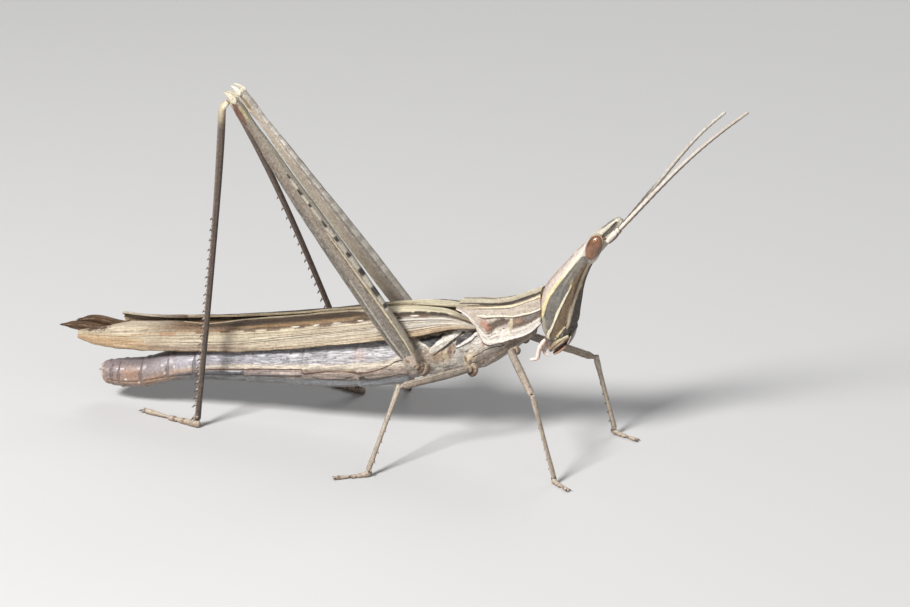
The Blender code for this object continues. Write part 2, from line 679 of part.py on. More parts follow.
def make_foot(kind, side, ankle, toe):
    """Three-jointed foot: flat pads at floor level, waisted between them, with two claws."""
    run = Vector((toe.x - ankle.x, toe.y - ankle.y, 0))
    along, across = run.normalized(), Vector((0, 0, 1)).cross(run.normalized())
    high, half = FOOT_HEIGHT[kind], FOOT_HALF[kind]
    heel = Vector((ankle.x, ankle.y, 0)) - along * half
    length = run.length + half - (0.9 if kind == "hind" else 0.6)
    rings = []
    for t, top, low, width in FOOT:
        centre = heel + along * length * t
        rings.append([
            centre + across * half * width * y + Vector((0, 0, high * (low + (top - low) * z)))
            for y, z in ((0.6, 0), (1, 0.35), (1, 0.7), (0.55, 1), (-0.55, 1), (-1, 0.7), (-1, 0.35), (-0.6, 0))
        ])
    pole = heel + along * (length + 0.1) + Vector((0, 0, high * 0.3))
    bm = loft(rings, last_pole=pole)
    reach = 0.32 if kind == "hind" else 0.22
    for claw in (1, -1):
        place = heel + along * length + across * claw * half * 0.6 + Vector((0, 0, high * 0.38))
        face = nearest_face(bm, place, along)
        out = along * 0.8 + across * claw * 0.5
        horn(bm, face, [((out + Vector((0, 0, 0.25))) * reach, 0.8), ((out - Vector((0, 0, 0.25))) * reach, 0.6)])
    finish(f"{kind}_tarsus_{SIDE_NAMES[side]}", bm, LEG_SHELL)


def make_leg(kind, side):
    hip, knee, ankle, toe = (Vector(place) for place in LEGS[kind, side])
    outward = (knee - hip).cross(ankle - knee).normalized()
    if outward.y * side < 0:
        outward = -outward
    make_coxa(kind, side, hip)
    make_femur(kind, side, hip, knee, outward)
    make_shin(kind, side, hip, knee, ankle, outward)
    make_foot(kind, side, ankle, toe)


def main():
    for old in list(bpy.data.objects):
        bpy.data.objects.remove(old, do_unlink=True)
    make_head()
    make_mouth()
    make_pronotum()
    make_thorax()
    make_abdomen()
    make_tail()
    for side in SIDE_NAMES:
        make_eye(side)
        make_antenna(side)
        make_tegmen(side)
        make_hindwing(side)
        for kind in ("fore", "mid", "hind"):
            make_leg(kind, side)


main()
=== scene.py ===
"""Slant-faced grasshopper, dressed: shell plates, wings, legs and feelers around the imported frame.

Lengths are mm: x to the head, y to the animal's left, z up from the floor. They are given from a working
point near the hind hips, and X_MIDDLE moves them to the frame's middle. Every skin carries a point
attribute, LIE: how far along the piece a spot lies (mm), how far round it from the top line (0) to the
bottom line (1), and how far to its outer side (-1 to 1). The markings follow it.
"""

import logging
import math
from collections.abc import Sequence
from dataclasses import dataclass, field
from enum import Enum
from functools import cache

import bmesh
import bpy
import numpy as np
from mathutils import Matrix, Vector


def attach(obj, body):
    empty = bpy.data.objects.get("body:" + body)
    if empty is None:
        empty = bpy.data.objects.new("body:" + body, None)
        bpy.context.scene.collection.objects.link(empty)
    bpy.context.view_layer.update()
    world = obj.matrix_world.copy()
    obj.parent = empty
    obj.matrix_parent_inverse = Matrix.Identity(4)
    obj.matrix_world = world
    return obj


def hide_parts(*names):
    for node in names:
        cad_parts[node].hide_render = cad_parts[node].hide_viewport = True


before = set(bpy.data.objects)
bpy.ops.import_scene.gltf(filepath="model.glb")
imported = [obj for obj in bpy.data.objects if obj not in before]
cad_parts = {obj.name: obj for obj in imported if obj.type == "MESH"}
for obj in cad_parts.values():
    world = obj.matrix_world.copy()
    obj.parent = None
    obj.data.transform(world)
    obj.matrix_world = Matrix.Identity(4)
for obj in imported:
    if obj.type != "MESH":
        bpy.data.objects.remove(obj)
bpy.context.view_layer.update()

MM = .001
X_MIDDLE = .175
TURN = math.tau
LIE = "lie"
BODY = "root"
UP = Vector((0, 0, 1))

Colour = tuple[float, float, float]
Path = tuple[tuple[float, ...], ...]
Piece, Material = bpy.types.Object, bpy.types.Material
Group, Node, Socket = bpy.types.NodeTree, bpy.types.Node, bpy.types.NodeSocket
log = logging.getLogger("grasshopper")


class Side(Enum):
    """Which half of the animal a piece is on."""

    RIGHT = -1
    LEFT = 1

    @property
    def word(self) -> str:
        """The side's name, as the nodes spell it."""
        return self.name.lower()

    @property
    def out(self) -> Vector:
        """The way out from the middle plane."""
        return Vector((0, self.value, 0))


class Pair(Enum):
    """The three pairs of legs, front to back."""

    FORE = "fore"
    MID = "mid"
    HIND = "hind"


def place(x: float, y: float, z: float) -> Vector:
    """The spot in the model's frame for lengths given from the working point."""
    return Vector((x - X_MIDDLE, y, z))


def mirrored(spot: Vector, side: Side) -> Vector:
    """The same spot on the given side, for one stated on the left."""
    return Vector((spot.x, spot.y * side.value, spot.z))


# ---- curves of sizes

class Stations:
    """Sizes along a piece, on a smooth curve that never overshoots."""

    def __init__(self, rows: Path) -> None:
        """Keeps the rows (key, size, size, ... with rising keys) and the slopes there.

        Args:
            rows: key, size, size, ... with the keys rising.
        """
        table = np.array(rows, float)
        self.keys, self.sizes = table[:, 0], table[:, 1:]
        span = np.diff(self.keys)[:, None]
        rise = np.diff(self.sizes, axis=0) / span
        slope = np.zeros_like(self.sizes)
        slope[0], slope[-1] = rise[0], rise[-1]
        steady = rise[:-1] * rise[1:] > 0
        both = np.where(steady, rise[:-1] + rise[1:], 1)
        slope[1:-1] = np.where(steady, 2 * rise[:-1] * rise[1:] / both, 0)
        self.slope = slope

    def at(self, key: float) -> np.ndarray:
        """The sizes at a key.

        Args:
            key: where along the piece; beyond the end rows it counts as the end.

        Returns:
            One value for each column after the key.
        """
        key = min(max(key, self.keys[0]), self.keys[-1])
        i = int(np.clip(np.searchsorted(self.keys, key) - 1, 0, len(self.keys) - 2))
        span = self.keys[i + 1] - self.keys[i]
        t = (key - self.keys[i]) / span
        return (
            (1 + 2 * t) * (1 - t) ** 2 * self.sizes[i]
            + t * (1 - t) ** 2 * self.slope[i] * span
            + t * t * (3 - 2 * t) * self.sizes[i + 1]
            - t * t * (1 - t) * self.slope[i + 1] * span
        )


def hump(value: np.ndarray, middle: float, half: float) -> np.ndarray:
    """A smooth rise of 1 about the middle that is gone two halves away."""
    return np.exp(-(((value - middle) / half) ** 2) * 1.6)


def step(value: np.ndarray, low: float, high: float) -> np.ndarray:
    """A smooth climb from 0 at low to 1 at high; low may be the larger."""
    t = np.clip((value - low) / (high - low), 0, 1)
    return t * t * (3 - 2 * t)


def unrest(points: np.ndarray, size: Sequence[float], seed: int, layers: int = 3) -> np.ndarray:
    """A smooth uneven field, the same each time it is asked for.

    Args:
        points: one row of coordinates for each spot.
        size: the length of a swell along each coordinate.
        seed: which field to take.
        layers: how many times finer swells are added.

    Returns:
        One value for each spot, about -1 to 1.
    """
    draw = np.random.default_rng(seed)
    total = np.zeros(len(points))
    share, weight = 1, 0
    for layer in range(layers):
        for _ in range(7):
            heading = draw.normal(size=points.shape[1])
            heading /= np.linalg.norm(heading)
            pace = TURN * heading / np.array(size) * 2**layer
            total += share * np.sin(points @ pace + draw.uniform(0, TURN))
        weight += share * 1.9
        share *= .5
    return total / weight


# ---- skins

@dataclass
class Ring:
    """One ring of a skin: its places (mm), how far along the piece it lies (mm), and for each place how far
    across it is (0 top to 1 bottom) and to which side (-1 inner to 1 outer)."""

    points: list[Vector]
    along: float
    across: list[float]
    side: list[float]


def oval(
    middle: Vector, up: Vector, down: Vector, out: Vector, count: int, along: float,
    square: tuple[float, float] = (2, 2), egg: float = 0,
) -> Ring:
    """A ring about a middle.

    Args:
        middle: its centre.
        up: from there to its top.
        down: from there to its bottom.
        out: from there to its outer side.
        count: how many places.
        along: its place along the piece, mm.
        square: how square the upper and the lower half are; 2 is round.
        egg: how much wider the upper half is.

    Returns:
        The ring, a little larger so that its subdivided skin has the size.
    """
    swell = 3 / (2 + math.cos(TURN / count))
    ring = Ring([], along, [], [])
    for k in range(count):
        c, s = math.cos(TURN * k / count), math.sin(TURN * k / count)
        power = 2 / square[0 if c > 0 else 1]
        rise = math.copysign(abs(c) ** power, c) if abs(c) > 1e-9 else 0
        reach = math.copysign(abs(s) ** power, s) if abs(s) > 1e-9 else 0
        lift = (up if rise > 0 else down) * abs(rise)
        ring.points.append(middle + (lift + out * (reach * (1 + egg * rise))) * swell)
        ring.across.append((1 - rise) / 2)
        ring.side.append(reach)
    return ring


def upright(
    middle: Vector, rise: float, fall: float, half: float, count: int, along: float,
    square: tuple[float, float] = (2, 2),
) -> Ring:
    """A ring that stands across the body.

    Args:
        middle: its centre.
        rise: how far its top is above that.
        fall: how far its bottom is below it.
        half: its half width, less than 0 where its outer side is the right one.
        count: how many places.
        along: its place along the piece, mm.
        square: how square the upper and the lower half are; 2 is round.

    Returns:
        The ring.
    """
    return oval(middle, UP * rise, UP * -fall, Vector((0, half, 0)), count, along, square)


def between(start: Vector, bend: Vector, end: Vector, share: float) -> Vector:
    """The spot at a share of a curve that starts towards a bend and ends coming from it."""
    return start.lerp(bend, share).lerp(bend.lerp(end, share), share)


def columns(*values: np.ndarray | float) -> np.ndarray:
    """A table with a row for each spot, from whole columns and single numbers."""
    return np.stack(np.broadcast_arrays(*values), 1)


def clear_selection() -> None:
    """Deselects everything, so that an operator acts on its own piece alone."""
    if bpy.context.object and bpy.context.object.mode != "OBJECT":
        bpy.ops.object.mode_set(mode="OBJECT")
    bpy.ops.object.select_all(action="DESELECT")


def take(piece: Piece) -> Piece:
    """Makes a piece the only one selected, and the active one.

    Args:
        piece: the piece.

    Returns:
        The piece.
    """
    clear_selection()
    piece.select_set(True)
    bpy.context.view_layer.objects.active = piece
    return piece


def cut_rings(piece: Piece, cuts: int) -> tuple[bmesh.types.BMesh, object]:
    """Cuts the upright edges of a cylinder or a cone 1 high, and stays in edit mode.

    Args:
        piece: the cylinder or cone.
        cuts: how many rings are cut.

    Returns:
        Its mesh in edit mode, and the new layer for LIE.
    """
    bpy.ops.object.mode_set(mode="EDIT")
    bpy.ops.mesh.select_mode(type="EDGE")
    bpy.ops.mesh.select_all(action="DESELECT")
    cage = bmesh.from_edit_mesh(piece.data)
    for edge in cage.edges:
        edge.select = abs(edge.verts[0].co.z - edge.verts[1].co.z) > .5
    bmesh.update_edit_mesh(piece.data)
    if cuts:
        bpy.ops.mesh.subdivide(number_cuts=cuts)
    cage = bmesh.from_edit_mesh(piece.data)
    return cage, cage.verts.layers.float_vector.new(LIE)


def skin(
    name: str, rings: Sequence[Ring], poles: tuple[Vector | None, Vector | None] = (None, None),
    rim: float = 0, ridges: dict[int, float] | None = None, levels: int = 2,
) -> Piece:
    """A closed skin over rings, cut from a capped cylinder and subdivided.

    Args:
        name: the piece's name.
        rings: its rings from end to end, with equal numbers of places.
        poles: the middle of each end cap; None is the end ring's own.
        rim: how crisp the end rings stay, 0 to 1.
        ridges: for a place in the ring, how crisp the edge through it stays.
        levels: how many times it is subdivided.

    Returns:
        The piece, with LIE on its points.
    """
    count, last = len(rings[0].points), len(rings) - 1
    clear_selection()
    bpy.ops.mesh.primitive_cylinder_add(vertices=count, radius=1, depth=1, end_fill_type="TRIFAN")
    piece = bpy.context.object
    piece.name = piece.data.name = name
    cage, lie = cut_rings(piece, last - 1)
    crease = cage.edges.layers.float.new("crease_edge")
    spots: dict[bmesh.types.BMVert, tuple[int, int]] = {}
    for vert in cage.verts:
        index = round((vert.co.z + .5) * last)
        ring = rings[index]
        if math.hypot(vert.co.x, vert.co.y) < .5:
            given = poles[0] if index == 0 else poles[1]
            middle = sum(ring.points, Vector()) / count
            vert[lie] = (ring.along, sum(ring.across) / count, 0)
            vert.co = (middle if given is None else given) * MM
            continue
        k = round(math.atan2(-vert.co.x, vert.co.y) / TURN * count) % count
        spots[vert] = (index, k)
        vert[lie] = (ring.along, ring.across[k], ring.side[k])
    for vert, (index, k) in spots.items():
        vert.co = rings[index].points[k] * MM
    for edge in cage.edges:
        ends = [spots.get(vert) for vert in edge.verts]
        if None in ends:
            continue
        (ring_a, k_a), (ring_b, k_b) = ends
        if ring_a == ring_b and ring_a in (0, last):
            edge[crease] = rim
        elif k_a == k_b and ridges:
            edge[crease] = ridges.get(k_a, 0)
    inside_out = cage.calc_volume(signed=True) < 0
    bmesh.update_edit_mesh(piece.data)
    bpy.ops.mesh.select_mode(type="VERT")
    bpy.ops.mesh.select_all(action="SELECT")
    if inside_out:
        bpy.ops.mesh.flip_normals()
    bpy.ops.object.mode_set(mode="OBJECT")
    return refine(piece, levels)


def refine(piece: Piece, levels: int) -> Piece:
    """Subdivides a piece and shades it smooth.

    Args:
        piece: the piece.
        levels: how many times.

    Returns:
        The same piece.
    """
    take(piece)
    if levels:
        smooth = piece.modifiers.new("Refine", "SUBSURF")
        smooth.levels = smooth.render_levels = levels
        bpy.ops.object.modifier_apply(modifier=smooth.name)
    bpy.ops.object.shade_smooth()
    return piece


def crisp(piece: Piece, degrees: float) -> Piece:
    """Shades a piece smooth, but sharp where faces meet at more than the angle.

    Args:
        piece: the piece.
        degrees: the angle.

    Returns:
        The piece.
    """
    take(piece)
    bpy.ops.object.shade_smooth_by_angle(angle=math.radians(degrees))
    return piece


@dataclass
class Relief:
    """A piece's points and where they lie on it, for moving them in and out."""

    piece: Piece

    def __post_init__(self) -> None:
        """Reads the points (mm), the normals and LIE."""
        mesh = self.piece.data
        count = len(mesh.vertices)
        self.points = self.read(mesh.vertices, "co", count) / MM
        self.normals = self.read(mesh.vertices, "normal", count)
        self.lie = self.read(mesh.attributes[LIE].data, "vector", count)
        self.along, self.across, self.side = self.lie.T

    @staticmethod
    def read(rows: object, what: str, count: int) -> np.ndarray:
        """Three numbers for each point, as a table.

        Args:
            rows: the points, or their attribute.
            what: the property that is read.
            count: how many points.

        Returns:
            The table.
        """
        values = np.zeros(count * 3, np.float32)
        rows.foreach_get(what, values)
        return values.reshape(-1, 3).astype(float)

    def move(self, shift: np.ndarray) -> None:
        """Moves each point by a height along its normal, or by a vector (mm).

        Args:
            shift: mm, one height along the normal or one vector for each point.
        """
        if shift.ndim == 1:
            shift = self.normals * shift[:, None]
        self.points = self.points + shift
        mesh = self.piece.data
        mesh.vertices.foreach_set("co", (self.points * MM).astype(np.float32).ravel())
        mesh.update()
        self.normals = self.read(mesh.vertices, "normal", len(mesh.vertices))


def join(name: str, pieces: Sequence[Piece]) -> Piece:
    """Makes several pieces one.

    Args:
        name: the one piece's name.
        pieces: the pieces, the first of which stays.

    Returns:
        The joined piece.
    """
    take(pieces[0])
    for other in pieces:
        other.select_set(True)
    if len(pieces) > 1:
        bpy.ops.object.join()
    piece = bpy.context.object
    piece.name = piece.data.name = name
    return piece


def copy_of(master: Piece, turned: Matrix) -> Piece:
    """A copy of a piece with its own mesh.

    Args:
        master: the piece, in mm about its own foot.
        turned: from there to the model's mm.

    Returns:
        The copy, in metres.
    """
    piece = master.copy()
    piece.data = master.data.copy()
    bpy.context.collection.objects.link(piece)
    piece.data.transform(Matrix.Scale(MM, 4) @ turned)
    return piece


def aim(foot: Vector, along: Vector, out: Vector, size: Sequence[float]) -> Matrix:
    """A placing matrix.

    Args:
        foot: where the copy's origin goes, mm.
        along: where its z points.
        out: where its x points, as nearly as along lets it.
        size: its scale along x, y and z.

    Returns:
        The matrix.
    """
    z = along.normalized()
    x = (out - z * out.dot(z)).normalized()
    turned = Matrix((x, z.cross(x), z)).transposed().to_4x4()
    return Matrix.Translation(foot) @ turned @ Matrix.Diagonal((*size, 1))


def drop(*pieces: Piece) -> None:
    """Removes the master pieces that only stand for their copies.

    Args:
        pieces: the pieces.
    """
    for piece in pieces:
        mesh = piece.data
        bpy.data.objects.remove(piece, do_unlink=True)
        bpy.data.meshes.remove(mesh)


def rod(
    name: str, path: Sequence[Vector], out: Vector, sizes: Sequence[Sequence[float]], count: int,
    start: float = 0, square: float = 2, rim: float = 0, levels: int = 2, top: Vector = UP,
) -> Piece:
    """A tube along a path.

    Args:
        name: the piece's name.
        path: its middle line, mm.
        out: the outer side's direction.
        sizes: at each place its half thickness along out and its half depth.
        count: how many places round it.
        start: the along value at its first ring.
        square: how square it is.
        rim: how crisp its ends are.
        levels: how many times it is subdivided.
        top: roughly where its top line faces.

    Returns:
        The piece.
    """
    rings, along = [], start
    for i, middle in enumerate(path):
        before, after = path[max(i - 1, 0)], path[min(i + 1, len(path) - 1)]
        heading = (after - before).normalized()
        side = (out - heading * out.dot(heading)).normalized()
        deep = side.cross(heading)
        if deep.dot(top) < 0:
            deep = -deep
        if i:
            along += (middle - path[i - 1]).length
        thick, depth = sizes[i]
        rings.append(oval(middle, deep * depth, -deep * depth, side * thick, count, along, (square, square)))
    return skin(name, rings, rim=rim, levels=levels)


@cache
def made(look: "Shell | EyeGloss") -> Material:
    """The material of a look, built the first time it is asked for."""
    return look.build()


def coat(piece: Piece, look: "Shell | EyeGloss") -> Piece:
    """Gives a piece one look all over.

    Args:
        piece: the piece.
        look: its finish.

    Returns:
        The piece.
    """
    piece.data.materials.clear()
    piece.data.materials.append(made(look))
    return piece


def dress(
    piece: Piece, slot: str, look: "Shell | EyeGloss | None", *nodes: str,
) -> Piece:
    """Gives a piece its finish, its place in the frame and the nodes it stands for.

    Args:
        piece: the piece.
        slot: the record's material slot; not used.
        look: its finish; None keeps what it has.
        nodes: the frame's nodes that it replaces.

    Returns:
        The same piece.
    """
    if look:
        coat(piece, look)
    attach(piece, BODY)
    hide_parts(*nodes)
    log.info("%s: %d faces", piece.name, len(piece.data.polygons))
    return piece


# ---- finishes

class Tree:
    """Lays out the nodes of one material or group and joins them."""

    def __init__(self, tree: Group) -> None:
        """Keeps the tree."""
        self.tree = tree

    def feed(self, socket: Socket, value: object) -> None:
        """Joins a socket to another one, or sets its value.

        Args:
            socket: the input.
            value: a socket or a value.
        """
        if isinstance(value, Socket):
            self.tree.links.new(value, socket)
        elif socket.type == "RGBA":
            socket.default_value = (*value[:3], 1)
        else:
            socket.default_value = value

    def add(self, kind: str, feeds: dict[str | int, object] | None = None, **settings: object) -> Node:
        """Adds a node.

        Args:
            kind: the shader node's name.
            feeds: a value or a socket for each input named or numbered.
            settings: the node's own settings.

        Returns:
            The node.
        """
        node = self.tree.nodes.new("ShaderNode" + kind)
        for key, value in settings.items():
            setattr(node, key, value)
        for key, value in (feeds or {}).items():
            self.feed(node.inputs[key], value)
        return node

    def math(self, operation: str, *values: object, clamp: bool = False) -> Socket:
        """One sum on numbers."""
        return self.add("Math", dict(enumerate(values)), operation=operation, use_clamp=clamp).outputs[0]

    def vector(self, operation: str, *values: object) -> Socket:
        """One sum on vectors."""
        return self.add("VectorMath", dict(enumerate(values)), operation=operation).outputs[0]

    def climb(self, value: object, low: object, high: object, smooth: bool = True) -> Socket:
        """0 below low to 1 above high; low may be the larger.

        Args:
            value: a socket or a value.
            low: where the result is 0.
            high: where the result is 1.
            smooth: whether both ends are eased.

        Returns:
            The socket of the result.
        """
        feeds = {"Value": value, "From Min": low, "From Max": high}
        way = "SMOOTHSTEP" if smooth else "LINEAR"
        return self.add("MapRange", feeds, interpolation_type=way).outputs[0]

    def mix(self, share: object, under: object, over: object, way: str = "MIX") -> Socket:
        """One colour over another."""
        node = self.add("Mix", {0: share, 6: under, 7: over}, data_type="RGBA", blend_type=way)
        return node.outputs[2]

    def ramp(self, value: object, stops: Sequence[tuple[float, Colour]]) -> Socket:
        """Colours along a value from 0 to 1.

        Args:
            value: a socket or a value.
            stops: each colour's place, and the colour.

        Returns:
            The socket of the result.
        """
        node = self.add("ValToRGB", {0: value})
        row = node.color_ramp
        while len(row.elements) < len(stops):
            row.elements.new(1)
        for element, (spot, colour) in zip(row.elements, stops):
            element.position = spot
            element.color = (*colour, 1)
        return node.outputs[0]

    def curve(self, value: object, points: Sequence[tuple[float, float]]) -> Socket:
        """A smooth curve through points, both their values from 0 to 1.

        Args:
            value: a socket or a value.
            points: the curve's points.

        Returns:
            The socket of the result.
        """
        node = self.add("FloatCurve", {"Value": value})
        node.mapping.extend = "HORIZONTAL"
        line = node.mapping.curves[0]
        while len(line.points) < len(points):
            line.points.new(1, 1)
        for point, spot in zip(line.points, points):
            point.location = spot
            point.handle_type = "AUTO_CLAMPED"
        node.mapping.update()
        return node.outputs[0]

    def noise(self, where: object, scale: float, detail: float = 2, rough: float = .5) -> Socket:
        """An even noise about 0.5."""
        feeds = {"Vector": where, "Scale": scale, "Detail": detail, "Roughness": rough}
        return self.add("TexNoise", feeds).outputs[0]

    def cells(self, where: object, scale: object) -> Socket:
        """How far each spot is from the middle of its cell."""
        return self.add("TexVoronoi", {"Vector": where, "Scale": scale}).outputs[0]

    def group(self, group: Group, **feeds: object) -> Node:
        """Places a shared group; an input's spaces are written as underscores.

        Args:
            group: the shared group.
            feeds: a socket or a value for each input.

        Returns:
            The node.
        """
        node = self.tree.nodes.new("ShaderNodeGroup")
        node.node_tree = group
        for key, value in feeds.items():
            self.feed(node.inputs[key.replace("_", " ")], value)
        return node

    def finish(
        self, shader: Node, colour: Socket, dull: Socket, height: Socket, coat: tuple[float, float],
    ) -> None:
        """Joins a look to its shader.

        Args:
            shader: the material's shader.
            colour: the colour.
            dull: the roughness.
            height: how far it stands up, mm.
            coat: the waxy coat's strength and roughness.
        """
        bump = self.add("Bump", {"Height": height, "Distance": MM, "Strength": 1}).outputs[0]
        names = ("Base Color", "Roughness", "Coat Weight", "Coat Roughness", "Normal")
        for name, value in zip(names, (colour, dull, *coat, bump)):
            self.feed(shader.inputs[name], value)


def new_material(name: str) -> tuple[Material, Tree, Node]:
    """Starts a material.

    Args:
        name: its name.

    Returns:
        The material, its tree and its shader.
    """
    material = bpy.data.materials.new(name)
    material.use_nodes = True
    return material, Tree(material.node_tree), material.node_tree.nodes["Principled BSDF"]


def shared(name: str, takes: Sequence[str], gives: Sequence[str]) -> tuple[Tree, list[Socket], list[Socket]]:
    """Starts a shared node group.

    Args:
        name: its name.
        takes: its inputs; one that starts with * is a vector.
        gives: its outputs, all numbers.

    Returns:
        Its tree, the sockets of its inputs and those of its outputs.
    """
    tree = bpy.data.node_groups.new(name, "ShaderNodeTree")
    for title in takes:
        kind = "NodeSocketVector" if title.startswith("*") else "NodeSocketFloat"
        tree.interface.new_socket(title.lstrip("*"), in_out="INPUT", socket_type=kind)
    for title in gives:
        tree.interface.new_socket(title, in_out="OUTPUT", socket_type="NodeSocketFloat")
    inner = [tree.nodes.new("NodeGroup" + end) for end in ("Input", "Output")]
    return Tree(tree), list(inner[0].outputs)[:len(takes)], list(inner[1].inputs)[:len(gives)]


class Effects:
    """The node groups that the finishes share, each built once."""

    def __init__(self) -> None:
        """Builds the groups."""
        self.stripe, self.spot, self.dashes = self.make_stripe(), self.make_spot(), self.make_dashes()
        self.grain, self.folds = self.make_grain(), self.make_folds()

    @staticmethod
    def fade(t: Tree, far: Socket, soft: Socket) -> Socket:
        """1 inside a mark, falling to 0 over its soft edge, where far is 1."""
        return t.climb(far, t.math("ADD", soft, 1), t.math("SUBTRACT", 1, soft))

    def make_stripe(self) -> Group:
        """A stripe about a line, with a soft and wandering edge.

        Returns:
            The group.
        """
        takes = ("Across", "Centre", "Half", "Soft", "Wander")
        t, (across, centre, half, soft, wander), (mask,) = shared("Stripe", takes, ("Mask",))
        off = t.math("ABSOLUTE", t.math("SUBTRACT", across, centre))
        far = t.math("ADD", t.math("DIVIDE", off, t.math("MAXIMUM", half, .0001)), wander)
        t.feed(mask, t.math("MULTIPLY", self.fade(t, far, soft), t.climb(half, .0005, .004)))
        return t.tree

    def make_spot(self) -> Group:
        """An oval spot with a soft and wandering edge.

        Returns:
            The group.
        """
        takes = ("Along", "Across", "At along", "At across", "Half along", "Half across", "Soft", "Wander")
        t, (*where, soft, wander), (mask,) = shared("Spot", takes, ("Mask",))
        squares = []
        for spot, middle, half in zip(where[:2], where[2:4], where[4:]):
            squares.append(t.math("POWER", t.math("DIVIDE", t.math("SUBTRACT", spot, middle), half), 2))
        far = t.math("ADD", t.math("SQRT", t.math("ADD", *squares)), wander)
        t.feed(mask, self.fade(t, far, soft))
        return t.tree

    @staticmethod
    def make_dashes() -> Group:
        """Breaks a stripe into uneven dashes.

        Returns:
            The group.
        """
        takes = ("Along", "Period", "Share", "Unevenness")
        t, (along, period, share, unevenness), (mask,) = shared("Dashes", takes, ("Mask",))
        beat = t.math("DIVIDE", along, period)
        slow = t.add("TexNoise", {"W": beat, "Scale": .37, "Detail": 1}, noise_dimensions="1D").outputs[0]
        sway = t.math("MULTIPLY", t.math("SUBTRACT", slow, .5), unevenness)
        part = t.math("FRACT", t.math("ADD", beat, t.math("MULTIPLY", sway, 2)))
        far = t.math("ABSOLUTE", t.math("SUBTRACT", part, .5))
        half = t.math("MULTIPLY", t.math("ADD", share, sway), .5)
        t.feed(mask, t.climb(far, t.math("ADD", half, .07), t.math("SUBTRACT", half, .07)))
        return t.tree

    @staticmethod
    def make_grain() -> Group:
        """Fine granules and pores of a shell, Size mm apart.

        Returns:
            The group.
        """
        gives = ("Granules", "Pores", "Height")
        t, (spot, size, pore_share), outs = shared("Shell grain", ("*Spot", "Size", "Pore share"), gives)
        fine = t.math("DIVIDE", 1, size)
        near = t.add("TexVoronoi", {"Vector": spot, "Scale": fine}, feature="SMOOTH_F1").outputs[0]
        granules = t.climb(near, .75, .1)
        pit = t.cells(spot, t.math("MULTIPLY", fine, .62))
        reach = t.math("MULTIPLY", pore_share, .5)
        pores = t.climb(pit, t.math("ADD", reach, .08), t.math("SUBTRACT", reach, .08))
        haze = t.add("TexNoise", {"Vector": spot, "Scale": t.math("MULTIPLY", fine, 1.7), "Detail": 2})
        high = t.math("ADD", t.math("MULTIPLY", granules, .6), t.math("MULTIPLY", haze.outputs[0], .4))
        for out, value in zip(outs, (granules, pores, t.math("SUBTRACT", high, pores))):
            t.feed(out, value)
        return t.tree

    @staticmethod
    def make_folds() -> Group:
        """Lengthwise wrinkles: swells Length mm long and Width of the way round.

        Returns:
            The group.
        """
        gives = ("Streaks", "Creases", "Height")
        t, (lie, length, width), outs = shared("Lengthwise folds", ("*Lie", "Length", "Width"), gives)
        along, across, side = t.add("SeparateXYZ", {0: lie}).outputs
        part = {0: t.math("DIVIDE", along, length), 1: t.math("DIVIDE", across, width), 2: side}
        feeds = {"Vector": t.add("CombineXYZ", part).outputs[0], "Scale": 1, "Detail": 4, "Roughness": .6}
        streaks = t.add("TexNoise", {**feeds, "Distortion": .35}).outputs[0]
        creases = t.climb(t.math("ABSOLUTE", t.math("SUBTRACT", streaks, .5)), .045, 0)
        height = t.math("MULTIPLY_ADD", creases, -.5, streaks)
        for out, value in zip(outs, (t.climb(streaks, .35, .65), creases, height)):
            t.feed(out, value)
        return t.tree


EFFECTS = Effects()
PIT: Colour = (.03, .022, .015)
COAT_ROUGHNESS = .35


@dataclass(frozen=True)
class Stripe:
    """A stripe that follows the shell: a path of (along, across, half width as a share of the way round), the
    share of its half that fades (soft), how much its edge wanders, how strongly it covers, how far it stands
    up (mm), and the length (mm) and share of its dashes."""

    path: Path
    colour: Colour
    soft: float = .35
    wander: float = .3
    strength: float = 1
    lift: float = 0
    dashes: tuple[float, float] | None = None


@dataclass(frozen=True)
class Spot:
    """An oval spot that follows the shell, at (along, across) and with halves the same way."""

    at: tuple[float, float]
    half: tuple[float, float]
    colour: Colour
    soft: float = .4
    wander: float = .5
    strength: float = 1
    lift: float = 0


@dataclass(frozen=True)
class Folds:
    """Lengthwise wrinkles: length (mm), width (share of the way round), height (mm), colour and its share,
    and the along values between which they grow from faint to full."""

    length: float
    width: float
    height: float
    colour: Colour = (.1, .09, .08)
    share: float = 0
    grows: tuple[float, float] = (-99, -98)


